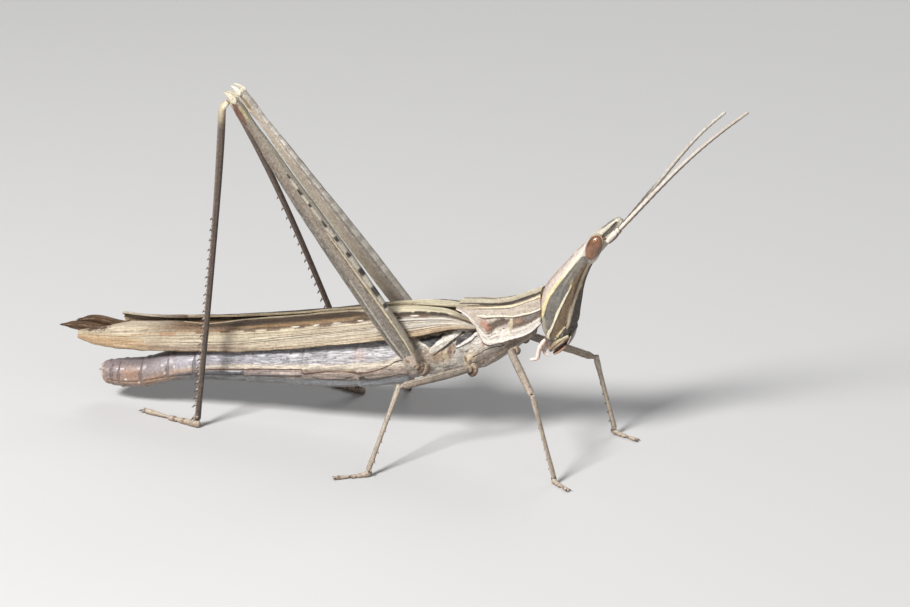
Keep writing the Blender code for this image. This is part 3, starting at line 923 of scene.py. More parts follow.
@dataclass(frozen=True)
class Shell:
    """The finish of a shell plate.

    Attributes:
        name: the material's name.
        span: the along values at the piece's two ends.
        bands: for a rising along value, the colours from the top line (0) to the bottom line (1).
        marks: stripes and spots, laid one over the other.
        mottle: colour, cover and size (mm) of the large uneven patches.
        speckle: colour, cover and size (mm) of the fine granules.
        pores: share of each cell that is a dark pore.
        grain: height of the granules, mm.
        edge_sway: how much the bands' edges wander.
        lively: how strongly fine light and dark play over all of it.
    """

    name: str
    span: tuple[float, float]
    bands: tuple[tuple[float, tuple[tuple[float, Colour], ...]], ...]
    marks: tuple[Stripe | Spot, ...] = ()
    mottle: tuple[tuple[Colour, float, float], ...] = ()
    speckle: tuple[Colour, float, float] = ((.1, .08, .06), 0, .12)
    pores: float = .25
    grain: float = .02
    folds: Folds | None = None
    rough: float = .5
    coat: float = .08
    edge_sway: float = .012
    lively: float = .5

    def build(self) -> Material:
        """The material of this finish.

        Returns:
            The material.
        """
        material, t, shader = new_material(self.name)
        spot = t.vector("MULTIPLY", t.add("TexCoord").outputs["Object"], (1 / MM,) * 3)
        lie = t.add("Attribute", attribute_name=LIE).outputs["Vector"]
        along, across, _ = t.add("SeparateXYZ", {0: lie}).outputs
        share = t.climb(along, *self.span, smooth=False)
        broad = t.math("SUBTRACT", t.noise(spot, .9, 3, .6), .5)
        fine = t.math("SUBTRACT", t.noise(spot, 4.5, 2), .5)
        sway = t.math("ADD", broad, t.math("MULTIPLY", fine, .7))
        swayed = t.math("MULTIPLY_ADD", sway, 2 * self.edge_sway, across)

        colour = t.ramp(swayed, self.bands[0][1])
        for (before, _), (here, stops) in zip(self.bands, self.bands[1:]):
            reached = t.climb(along, before, here)
            colour = t.mix(reached, colour, t.ramp(swayed, stops))
        for tint, cover, size in self.mottle:
            cloud = t.noise(spot, 1 / size, 4, .62)
            covered = t.climb(cloud, .5 - (cover - .5) * .3, .62 - (cover - .5) * .3)
            colour = t.mix(t.math("MULTIPLY", covered, min(1, cover * 1.6)), colour, tint)
        grain_size = self.speckle[2]
        grain = t.group(EFFECTS.grain, Spot=spot, Size=grain_size, Pore_share=self.pores)
        height = t.math("MULTIPLY", grain.outputs["Height"], self.grain)
        if self.folds:
            folds = t.group(EFFECTS.folds, Lie=lie, Length=self.folds.length, Width=self.folds.width)
            grown = t.math("MULTIPLY_ADD", t.climb(along, *self.folds.grows), .8, .2)
            tall = t.math("MULTIPLY", grown, self.folds.height)
            height = t.math("MULTIPLY_ADD", folds.outputs["Height"], tall, height)
            shown = t.math("MULTIPLY", grown, self.folds.share)
            crease = t.math("MULTIPLY", folds.outputs["Creases"], shown)
            streak = t.math("MULTIPLY", t.math("MULTIPLY", folds.outputs["Streaks"], shown), .45)
            colour = t.mix(t.math("MAXIMUM", crease, streak), colour, self.folds.colour)
        for mark in self.marks:
            mask = self.mask_of(t, mark, along, across, share, sway)
            if mark.lift:
                height = t.math("MULTIPLY_ADD", mask, mark.lift, height)
            colour = t.mix(t.math("MULTIPLY", mask, mark.strength), colour, mark.colour)
        tint, cover, _ = self.speckle
        if cover:
            scattered = t.climb(t.noise(spot, 1.6 / grain_size, 1), .62 - cover * .3, .7 - cover * .3)
            colour = t.mix(t.math("MULTIPLY", scattered, min(1, cover * 1.5)), colour, tint)
        shade = t.math("MULTIPLY", grain.outputs["Pores"], .45)
        colour = t.mix(shade, colour, t.mix(.75, colour, PIT))
        if self.folds:
            colour = t.mix(t.math("MULTIPLY", crease, .6), colour, self.folds.colour)
        rugged = t.math("SUBTRACT", t.noise(spot, 2.6, 5, .75), .5)
        lively = t.climb(rugged, -.2, .2, smooth=False)
        colour = t.mix(self.lively, colour, t.mix(lively, (0, 0, 0), (1, 1, 1)), "SOFT_LIGHT")

        dull = t.math("MULTIPLY_ADD", grain.outputs["Granules"], -.12, self.rough + .07)
        dull = t.math("MULTIPLY_ADD", broad, .25, dull, clamp=True)
        t.finish(shader, colour, dull, height, (self.coat, COAT_ROUGHNESS))
        return material

    def mask_of(
        self, t: Tree, mark: Stripe | Spot, along: Socket, across: Socket, share: Socket, sway: Socket,
    ) -> Socket:
        """Where a mark lies.

        Args:
            t: the material's tree.
            mark: the mark.
            along: the along value, mm.
            across: the across value.
            share: the along value from 0 to 1.
            sway: the uneven field that moves its edge.

        Returns:
            The mask.
        """
        wander = t.math("MULTIPLY", sway, mark.wander * 4)
        if isinstance(mark, Spot):
            return t.group(
                EFFECTS.spot, Along=along, Across=across, At_along=mark.at[0], At_across=mark.at[1],
                Half_along=mark.half[0], Half_across=mark.half[1], Soft=mark.soft, Wander=wander,
            ).outputs[0]
        low, high = self.span
        length = high - low
        rows = sorted(((a - low) / length, c, h) for a, c, h in mark.path)
        fade = (.12 + .004 * length) / length
        if rows[0][0] > fade:
            for back in (fade, fade + .012):
                rows.insert(0, (max(rows[0][0] - back, 0), rows[0][1], 0))
        if rows[-1][0] < 1 - fade:
            for ahead in (fade, fade + .012):
                rows.append((min(rows[-1][0] + ahead, 1), rows[-1][1], 0))
        centre = t.curve(share, [(a, c) for a, c, _ in rows])
        half = t.curve(share, [(a, h) for a, _, h in rows])
        mask = t.group(
            EFFECTS.stripe, Across=across, Centre=centre, Half=half, Soft=mark.soft, Wander=wander,
        ).outputs[0]
        if mark.dashes:
            period, part = mark.dashes
            beats = t.group(EFFECTS.dashes, Along=along, Period=period, Share=part, Unevenness=.6)
            mask = t.math("MULTIPLY", mask, beats.outputs[0])
        return mask


# ---- head

@dataclass
class Head:
    """The slanting head capsule, its eyes and its mouth.

    Attributes:
        stations: place from the mouth to the tip (0 to 1), the crown line's x, z and the face line's x, z in
            the middle plane, half width, how much wider the crown is, how square it is.
        length: the along value at the tip, mm.
        eye: the left eye's middle, and its half length, half width and height.
        eye_slope: the eye's lean from the level, degrees.
        rim_reach: how many times deeper than wide the eye's rim is.
        rim_sink: how far the rim's middle lies inside the eye's, mm.
        lip_length: the along value at the lip's end, mm.
    """

    stations: Path = (
        (0, 22.25, 16.75, 25.6, 18.1, 2, .05, 3), (.1, 21.5, 18.4, 25.85, 19.4, 2.4, .1, 3.4),
        (.24, 21.25, 21.2, 26.2, 21.8, 2.6, .12, 3.6), (.38, 21.35, 23.75, 26.55, 24.4, 2.4, .12, 3.2),
        (.54, 23.65, 27, 27.3, 26.9, 1.95, .1, 2.8), (.68, 25.85, 29.75, 28.5, 28.9, 1.45, .05, 2.5),
        (.8, 27.75, 31.8, 29.8, 30.85, 1.12, 0, 2.3), (.9, 29.35, 33.4, 30.8, 32.35, .95, 0, 2.3),
        (.96, 30.5, 34.35, 31.5, 33.45, .82, 0, 2.3), (1, 31.3, 34.8, 31.85, 34.25, .5, 0, 2.2),
    )
    length: float = 21
    eye: Vector = field(default_factory=lambda: place(28.47, 1.42, 30.68))
    eye_half: tuple[float, float, float] = (1.87, 1.03, .82)
    eye_slope: float = 69
    around: int = 32
    rim_reach: float = 3.6
    rim_sink: float = .16
    lip_length: float = 4.9
    places: tuple[float, ...] = (
        0, .03, .08, .14, .21, .29, .37, .45, .53, .61, .69, .77, .84, .9, .95, 1,
    )

    def ring(self, share: float, size: float = 1) -> Ring:
        """The ring of the capsule at a place from the mouth (0) to the tip (1).

        Args:
            share: how far along it, 0 to 1.
            size: its size; 1 is the capsule's own.

        Returns:
            The ring.
        """
        rear_x, rear_z, face_x, face_z, half, egg, square = Stations(self.stations).at(share)
        rear, face = place(rear_x, 0, rear_z), place(face_x, 0, face_z)
        middle = (rear + face) / 2
        out = Vector((0, half, 0)) * size
        up, down = (rear - middle) * size, (face - middle) * size
        return oval(middle, up, down, out, self.around, share * self.length, (square, 2.2), egg)

    def eye_frame(self, side: Side) -> tuple[Vector, Vector, Vector, Vector]:
        """The eye's middle and its long, short and outward directions.

        Args:
            side: the side it is on.

        Returns:
            The middle (mm) and the three directions.
        """
        lean = math.radians(self.eye_slope)
        long = Vector((math.cos(lean), 0, math.sin(lean)))
        short = Vector((math.sin(lean), 0, -math.cos(lean)))
        return mirrored(self.eye, side), long, short, side.out

    def make_capsule(self) -> Piece:
        """The capsule, with its keels, grooves, eye sockets and the dished tip.

        Returns:
            The piece.
        """
        rings = [self.ring(t) for t in self.places]
        blunt = self.ring(1, .6)
        blunt.points = [point + Vector((.14, 0, .08)) for point in blunt.points]
        capsule = skin("head_capsule", [*rings, blunt])
        form = Relief(capsule)
        t = form.along / self.length
        y = form.points[:, 1]
        front = form.across
        height = np.zeros(len(t))
        # two keels of the frons and the groove between them
        keel = .5 + .35 * (1 - t)
        height += .2 * np.exp(-(((np.abs(y) - keel * .62) / .22) ** 2)) * step(front, .8, .93)
        height -= .12 * np.exp(-((y / .26) ** 2)) * step(front, .9, .97)
        # side keel of the face, the cream line below the eye and the rim behind the cheek
        height += .1 * hump(front, .845, .045) * step(t, .7, .55)
        height += .07 * hump(front, .52 + .1 * t, .04) * step(t, .62, .5)
        height -= .06 * hump(front, .46 + .1 * t, .04) * step(t, .62, .5)
        height += .12 * hump(front, .06, .06) * step(t, .42, .3)
        # dished tip between raised margins
        tip = step(t, .82, .88) * step(t, .995, .95)
        height += .07 * hump(front, .2, .14) * tip
        height -= .16 * np.exp(-((y / .45) ** 2)) * step(front, .3, .05) * tip
        height -= .2 * hump(front, .55, .2) * tip
        # seam of the mouth plate
        height -= .1 * hump(t, .075, .018) * step(front, .3, .5)
        height += .05 * hump(t, .03, .03) * step(front, .3, .5)
        # eye sockets
        for side in Side:
            middle, long, short, out = self.eye_frame(side)
            off = form.points - np.array(middle)
            u, v = off @ np.array(long), off @ np.array(short)
            far = np.sqrt((u / self.eye_half[0]) ** 2 + (v / self.eye_half[1]) ** 2)
            near = (off @ np.array(out)) > -1.3
            height += np.where(near, .12 * hump(far, 1.16, .16), 0)
            height -= np.where(near, .2 * step(far, 1.02, .8), 0)
        height += .02 * unrest(form.points, (.9, .9, 1.6), 11)
        form.move(height)
        return capsule

    def make_eye(self, side: Side) -> Piece:
        """An eye cut from a ball, set in its pale rim.

        Args:
            side: the side it is on.

        Returns:
            The piece.
        """
        middle, long, _, out = self.eye_frame(side)
        half_long, half_short, bulge = self.eye_half
        clear_selection()
        bpy.ops.mesh.primitive_uv_sphere_add(segments=48, ring_count=24, radius=1)
        ball = bpy.context.object
        bpy.ops.object.mode_set(mode="EDIT")
        bpy.ops.mesh.bisect(
            plane_co=(0, 0, -.42), plane_no=(0, 0, 1), clear_inner=True, use_fill=True,
        )
        bpy.ops.mesh.select_all(action="DESELECT")
        bpy.ops.object.mode_set(mode="OBJECT")
        turned = aim(middle, out, long, (half_long, half_short, bulge))
        eye = copy_of(ball, turned)
        drop(ball)
        self.lie_on(eye, side)
        coat(refine(eye, 0), EYE)

        clear_selection()
        bpy.ops.mesh.primitive_torus_add(
            major_segments=48, minor_segments=8, major_radius=1, minor_radius=.075,
        )
        hoop = bpy.context.object
        bpy.ops.object.mode_set(mode="EDIT")
        bpy.ops.transform.resize(value=(1, 1, self.rim_reach))
        bpy.ops.object.mode_set(mode="OBJECT")
        foot = middle - out * self.rim_sink
        ring = copy_of(hoop, aim(foot, out, long, (half_long * .99, half_short * 1.02, 1)))
        drop(hoop)
        self.lie_on(ring, side)
        coat(refine(ring, 1), EYE_RIM)
        return join(f"eye_and_rim_{side.word}", [eye, ring])

    def lie_on(self, piece: Piece, side: Side) -> None:
        """Writes LIE on a piece at the eye: along and across it (mm about its middle) and outward.

        Args:
            piece: the piece.
            side: the side it is on.
        """
        middle, long, short, out = self.eye_frame(side)
        mesh = piece.data
        lie = mesh.attributes.new(LIE, "FLOAT_VECTOR", "POINT")
        points = Relief.read(mesh.vertices, "co", len(mesh.vertices)) / MM - np.array(middle)
        axes = np.array([long, short, out]).T
        lie.data.foreach_set("vector", (points @ axes).astype(np.float32).ravel())

    def make_simple_eyes(self) -> Piece:
        """The three small domed eyes of the face.

        Returns:
            The piece.
        """
        clear_selection()
        bpy.ops.mesh.primitive_ico_sphere_add(subdivisions=3, radius=.2)
        bead = bpy.context.object
        bpy.ops.object.mode_set(mode="EDIT")
        bpy.ops.mesh.bisect(plane_co=(0, 0, -.02), plane_no=(0, 0, 1), clear_inner=True, use_fill=True)
        bpy.ops.object.mode_set(mode="OBJECT")
        spots = [
            (place(29.75, .95, 31.9), Vector((.5, .8, -.1))),
            (place(29.75, -.95, 31.9), Vector((.5, -.8, -.1))),
            (place(29.45, 0, 30.35), Vector((.9, 0, -.35))),
        ]
        beads = [copy_of(bead, aim(spot, out, UP, (1, 1.25, .9))) for spot, out in spots]
        drop(bead)
        joined = join("simple_eyes", beads)
        self.lie_on(joined, Side.RIGHT)
        return crisp(joined, 60)

    def make_lip(self) -> Piece:
        """The upper lip: a curved plate with a cross groove and a notched lower edge.

        Returns:
            The piece.
        """
        root, bend, tip = place(25.42, 0, 18.3), place(25.25, 0, 16), place(22.85, 0, 14.6)
        rows = ((0, 1), (.15, 1.2), (.33, 1.32), (.4, 1.2), (.47, 1.3), (.65, 1.3), (.85, 1.1), (1, .7))
        path = [between(root, bend, tip, t) for t, _ in rows]
        sizes = [(half, .36 - .12 * t) for t, half in rows]
        lip = rod("upper_lip", path, Vector((0, 1, 0)), sizes, 20, square=3, rim=.4, top=Vector((1, 0, -1)))
        form = Relief(lip)
        y = form.points[:, 1]
        t = form.along / self.lip_length
        height = -.1 * hump(t, .42, .04) - .09 * np.exp(-((y / .16) ** 2)) * step(t, .5, .9)
        height += .05 * hump(np.abs(y), .7, .25) * step(t, .45, .6)
        form.move(height)
        return lip

    def make_jaw(self, side: Side) -> Piece:
        """A jaw: stout above, drawn to a toothed edge below.

        Args:
            side: the side it is on.

        Returns:
            The piece.
        """
        root, bend, tip = place(25.15, 1.25, 17.65), place(23.9, 1.6, 17), place(22.45, .85, 15.05)
        rows = ((0, .34, .3), (.15, .46, .42), (.4, .52, .52), (.65, .5, .5), (.85, .4, .4), (1, .24, .2))
        path = [mirrored(between(root, bend, tip, t), side) for t, _, _ in rows]
        sizes = [(out, deep) for _, out, deep in rows]
        jaw = rod(f"jaw_{side.word}", path, side.out, sizes, 16, square=2.6, rim=.4)
        form = Relief(jaw)
        teeth = .06 * np.sin(form.across * TURN * 3) * step(form.along, 3, 3.6)
        form.move(teeth - .07 * hump(form.across, .48, .06))
        return jaw

    def make_palps(self, side: Side) -> Piece:
        """The jointed palps of one side: the long outer one and the short one of the lower lip.

        Args:
            side: the side it is on.

        Returns:
            The piece.
        """
        outer = [
            (21.85, 1.3, 16.75), (21.45, 1.52, 16.1), (21.15, 1.7, 15.5), (20.95, 1.9, 14.1),
            (19.95, 1.9, 13.85),
        ]
        outer_half = (.3, .33, .34, .29, .2)
        inner = [(22, .75, 15.7), (21.75, .85, 15.15), (21.55, .95, 14.75), (22.3, .95, 14.35)]
        inner_half = (.2, .22, .24, .16)
        joints = []
        for spots, halves in ((outer, outer_half), (inner, inner_half)):
            spots = [mirrored(place(*spot), side) for spot in spots]
            for i, (foot, end) in enumerate(zip(spots, spots[1:])):
                joints.append(self.make_joint(foot, end, halves[i], halves[i + 1], side))
        return join(f"palps_{side.word}", joints)

    @staticmethod
    def make_joint(foot: Vector, end: Vector, root: float, tip: float, side: Side) -> Piece:
        """One joint of a palp, narrow at its root and swollen before its end.

        Args:
            foot: where it starts, mm.
            end: where it ends, mm.
            root: its half thickness at the start.
            tip: its half thickness at the end.
            side: the side it is on.

        Returns:
            The joint.
        """
        length = (end - foot).length
        heading = (end - foot).normalized()
        out = side.out if abs(heading.y) < .8 else Vector((1, 0, 0))
        rows = (
            (-.1, .55, root), (.08, .8, root), (.5, .92, (root + tip) / 2),
            (.85, 1.08, tip), (1, .85, tip), (1.06, .4, tip),
        )
        path = [foot + heading * length * t for t, _, _ in rows]
        sizes = [(half * swell, half * swell * 1.06) for _, swell, half in rows]
        return rod("palp_joint", path, out, sizes, 10)


@dataclass
class Feeler:
    """An antenna: two stout root joints, from foot to elbow, and a flat, tapering lash of many joints.

    Attributes:
        tips: the lash's end on each side.
        bows: on each side how far the lash rises between its ends, and how far towards its tip.
    """

    side: Side
    foot: Vector = field(default_factory=lambda: place(30.15, .85, 31.35))
    elbow: Vector = field(default_factory=lambda: place(31.75, .95, 33.35))
    tips: dict[Side, Vector] = field(default_factory=lambda: {
        Side.RIGHT: place(49.3, -3.6, 52.2), Side.LEFT: place(44.6, 3.8, 49.4),
    })
    bows: dict[Side, tuple[float, float]] = field(default_factory=lambda: {
        Side.RIGHT: (1, 1.15), Side.LEFT: (.95, 1.6),
    })
    width: float = 1.15
    depth: float = .6
    joints: int = 22

    def make_root(self) -> Piece:
        """The first joint, with the small round second one at its end.

        Returns:
            The piece.
        """
        foot, elbow = mirrored(self.foot, self.side), mirrored(self.elbow, self.side)
        out = self.side.out
        rows = ((0, .55), (.06, .8), (.16, .78), (.3, .98), (.55, 1.06), (.72, 1), (.8, .72))
        path = [foot.lerp(elbow, t) for t, _ in rows]
        first = rod("first_joint", path, out, [(.4 * s, .49 * s) for _, s in rows], 16)
        rows = ((.76, .5), (.8, .8), (.88, .98), (.97, .92), (1.03, .6))
        path = [foot.lerp(elbow, t) for t, _ in rows]
        second = rod("second_joint", path, out, [(.34 * s, .44 * s) for _, s in rows], 16, start=2)
        return join(f"feeler_root_{self.side.word}", [first, second])

    def spot(self, share: float) -> Vector:
        """The lash's middle line at a share of its length.

        Args:
            share: how far along it, 0 to 1.

        Returns:
            The spot, mm.
        """
        elbow, tip = mirrored(self.elbow, self.side), self.tips[self.side]
        start = elbow + (tip - elbow).normalized() * .2
        bow, late = self.bows[self.side]
        return start.lerp(tip, share) + Vector((0, 0, bow * math.sin(math.pi * share**late)))

    def half_sizes(self, share: float) -> tuple[float, float]:
        """The lash's half thickness sideways and its half depth at a share of its length.

        Args:
            share: how far along it, 0 to 1.

        Returns:
            Both halves, mm.
        """
        swell = min(1, .7 + 3 * share) * (1 - .72 * max(0, share - .12))
        if share > .94:
            swell *= 1 - 8 * (share - .94)
        return self.width / 2 * swell, self.depth / 2 * (.62 + .38 * swell)

    def make_lash(self) -> Piece:
        """The lash: one keeled skin, pinched in where joint meets joint.

        Returns:
            The piece.
        """
        steps, share_of = [], 1 / self.joints
        for joint in range(self.joints):
            for part, pinch in ((0, .8), (.16, .96), (.5, 1), (.86, 1.04)):
                steps.append(((joint + part) * share_of, pinch))
        steps.append((1, .55))
        out = self.side.out
        path = [self.spot(t) for t, _ in steps]
        sizes = [tuple(size * pinch for size in self.half_sizes(t)) for t, pinch in steps]
        lash = rod(f"feeler_lash_{self.side.word}", path, out, sizes, 12, levels=1, square=1.8)
        form = Relief(lash)
        form.move(.06 * np.exp(-((form.side / .25) ** 2)) * step(form.along, 24, 4))
        return refine(lash, 1)


# ---- trunk

@dataclass
class Saddle:
    """The saddle over the fore part of the trunk: a flat top with three keels and two hanging lobes.

    Attributes:
        stations: x, height of the side keels, lower edge of the lobes, half width there.
        top_half: half width of the flat top.
        keel: how far the middle keel stands up.
        bow: how far the lobes' front edge lies ahead of the top's.
        places: the rings' x.
    """

    stations: Path = (
        (9.6, 20.25, 20, 2), (11, 20.4, 19.6, 2.45), (12.6, 20.6, 17.8, 2.75), (13.9, 20.7, 15.6, 2.85),
        (15.2, 20.95, 15.8, 2.85), (17, 21.4, 16.5, 2.8), (18.6, 22.2, 17.1, 2.7), (20, 22.85, 17.9, 2.6),
        (21, 23.3, 19.3, 2.5),
    )
    top_half: float = 1.9
    keel: float = .5
    wall: float = .4
    bow: float = .45
    places: tuple[float, ...] = (
        9.6, 9.9, 10.6, 11.4, 12.1, 12.8, 13.4, 13.9, 14.5, 15.2, 16, 16.8, 17.6, 18.4, 19.2, 20, 20.6, 21,
    )

    def ring(self, x: float) -> Ring:
        """The saddle's section at x: the outer face from edge to edge, then the inner face back.

        Args:
            x: where along the body, mm.

        Returns:
            The ring.
        """
        keel, low, half = Stations(self.stations).at(x)
        drop_ = keel - low
        shoulder = half * .5 + self.top_half * .52
        rows = [
            (half - .08, low, 1),
            (half - .01, keel - drop_ * .86, .89),
            (half + .05, keel - drop_ * .66, .73),
            (half + .03, keel - drop_ * .45, .56),
            ((shoulder + half) / 2 + .04, keel - drop_ * .26, .41),
            (shoulder, keel - drop_ * .12, .3),
            (self.top_half + .03, keel + .05, .2),
            (self.top_half * .82, keel + .02, .16),
            (self.top_half * .45, keel + self.keel * .4, .09),
            (self.top_half * .13, keel + self.keel * .62, .03),
            (0, keel + self.keel + .06, 0),
        ]
        inner = []
        for y, z, across in rows[::2][::-1] + rows[:1]:
            share = y / max(half, .1)
            inner.append((max(y - self.wall * share, 0), z - self.wall * (1 - .75 * share), across))
        inner = inner[:-1]
        section = rows + [(-y, z, a) for y, z, a in rows[-2::-1]]
        section += [(-y, z, a + 2) for y, z, a in inner[::-1]] + [(y, z, a + 2) for y, z, a in inner[1:]]
        front = self.places[-1]
        bow = self.bow * max(0, (x - front + 1.4) / 1.4)
        ring = Ring([], x, [], [])
        for y, z, across in section:
            ring.points.append(place(x + bow * min(abs(y) / half, 1) ** 2, y, z))
            ring.across.append(across)
            ring.side.append(math.copysign(1, y) if across < 2 else 0)
        return ring

    def make(self) -> Piece:
        """The saddle with its keels, the cross grooves of its lobes and its thickened hem.

        Returns:
            The piece.
        """
        ridges = {6: .85, 14: .85, 10: .75, 0: .7, 20: .7}
        plate = skin("saddle_plate", [self.ring(x) for x in self.places], rim=.85, ridges=ridges)
        form = Relief(plate)
        x, a = form.along, form.across
        outer = a < 1.3
        groove = step(a, .24, .34)
        height = -.14 * hump(x, 16.4 - 1.2 * (a - .5), .2) * groove
        height -= .09 * hump(x, 14.7 - .6 * (a - .5), .16) * groove * step(a, .95, .7)
        height -= .08 * hump(x, 15.2, .14) * step(a, .19, .12)
        height += .1 * hump(a, .985, .05) - .06 * hump(a, .9, .04)
        height += .09 * hump(x, 20.95, .3) - .05 * hump(x, 20.3, .2)
        height += .035 * unrest(form.points, (1.4, 1.1, 1.1), 21) * groove
        height += .06 * hump(a, .66, .05) * step(x, 16.5, 18.5)
        form.move(np.where(outer, height, 0))
        return crisp(plate, 42)


@dataclass
class Trunk:
    """The three rings of the trunk, their side plates and the neck.

    Attributes:
        stations: x, top, bottom and half width.
        rings: each ring's name, its rear x and its front x.
        places: how many sections each ring has.
        plates: ridges and seams of the sides as (x, z) from, (x, z) to, half width and height.
    """

    stations: Path = (
        (2.6, 15.3, 8.6, 2.6), (5.5, 15.9, 9.6, 2.75), (9, 16.9, 10.35, 2.9), (12, 18, 11.1, 2.5),
        (14, 18.9, 11.9, 2.1), (16.5, 19.7, 13.8, 2.05), (20, 21.6, 16.8, 1.7),
    )
    rings: tuple[tuple[str, float, float], ...] = (
        ("metathorax", 2.45, 8.05), ("mesothorax", 8, 13.45), ("prothorax", 13.4, 20.1),
    )
    places: int = 9
    plates: tuple[tuple[float, ...], ...] = (
        (6.4, 13.6, 10.4, 17.6, .5, .22), (9.9, 14.2, 12.9, 17.2, .45, .2),
        (7.9, 12.6, 11.6, 16.2, .16, -.18), (5.4, 12.9, 7, 15.6, .18, -.16), (11.2, 13, 13.3, 15.2, .3, .14),
        (3, 12.6, 5, 14.4, .35, .14), (13.9, 14.6, 15.8, 16.6, .3, .14), (8, 11.4, 16, 14.6, .14, -.12),
    )

    def ring(self, x: float) -> Ring:
        """The trunk's ring at x.

        Args:
            x: where along the body, mm.

        Returns:
            The ring.
        """
        top, bottom, half = Stations(self.stations).at(x)
        level = bottom + (top - bottom) * .52
        return upright(place(x, 0, level), top - level, level - bottom, half, 28, x, (2.5, 2.5))

    def make_ring(self, name: str, rear: float, front: float) -> Piece:
        """One ring of the trunk, with the ridges and seams of its side plates.

        Args:
            name: its name.
            rear: x of its rear end, mm.
            front: x of its front end, mm.

        Returns:
            The piece.
        """
        places = np.linspace(rear, front, self.places)
        ring = skin(f"{name}_shell", [self.ring(x) for x in places], rim=.8)
        form = Relief(ring)
        x, z = form.points[:, 0] + X_MIDDLE, form.points[:, 2]
        height = np.zeros(len(x))
        for x_a, z_a, x_b, z_b, half, rise in self.plates:
            run = np.array([x_b - x_a, z_b - z_a])
            off = np.stack([x - x_a, z - z_a], 1)
            share = np.clip(off @ run / (run @ run), 0, 1)
            far = np.linalg.norm(off - share[:, None] * run, axis=1)
            height += rise * np.exp(-((far / half) ** 2) * 1.3)
        height += .07 * unrest(form.points, (1.6, 1.6, 1), 31)
        height += .07 * (hump(x, rear, .25) + hump(x, front, .25))
        height -= .1 * hump(form.across, .8, .04)
        form.move(height * step(np.abs(form.side), .1, .5))
        return ring

    def make_neck(self) -> Piece:
        """The folded skin between head and trunk.

        Returns:
            The piece.
        """
        rings = []
        rows = ((19.9, .9), (20.25, 1.02), (20.45, .92), (20.7, 1.08), (20.9, .96), (21.1, 1.02), (21.5, .9))
        for x, size in rows:
            middle = place(x, 0, 19.9 + (x - 20.25) * .4)
            rings.append(upright(middle, 1.6 * size, 1.6 * size, 1.35 * size, 20, x))
        return skin("neck_skin", rings)


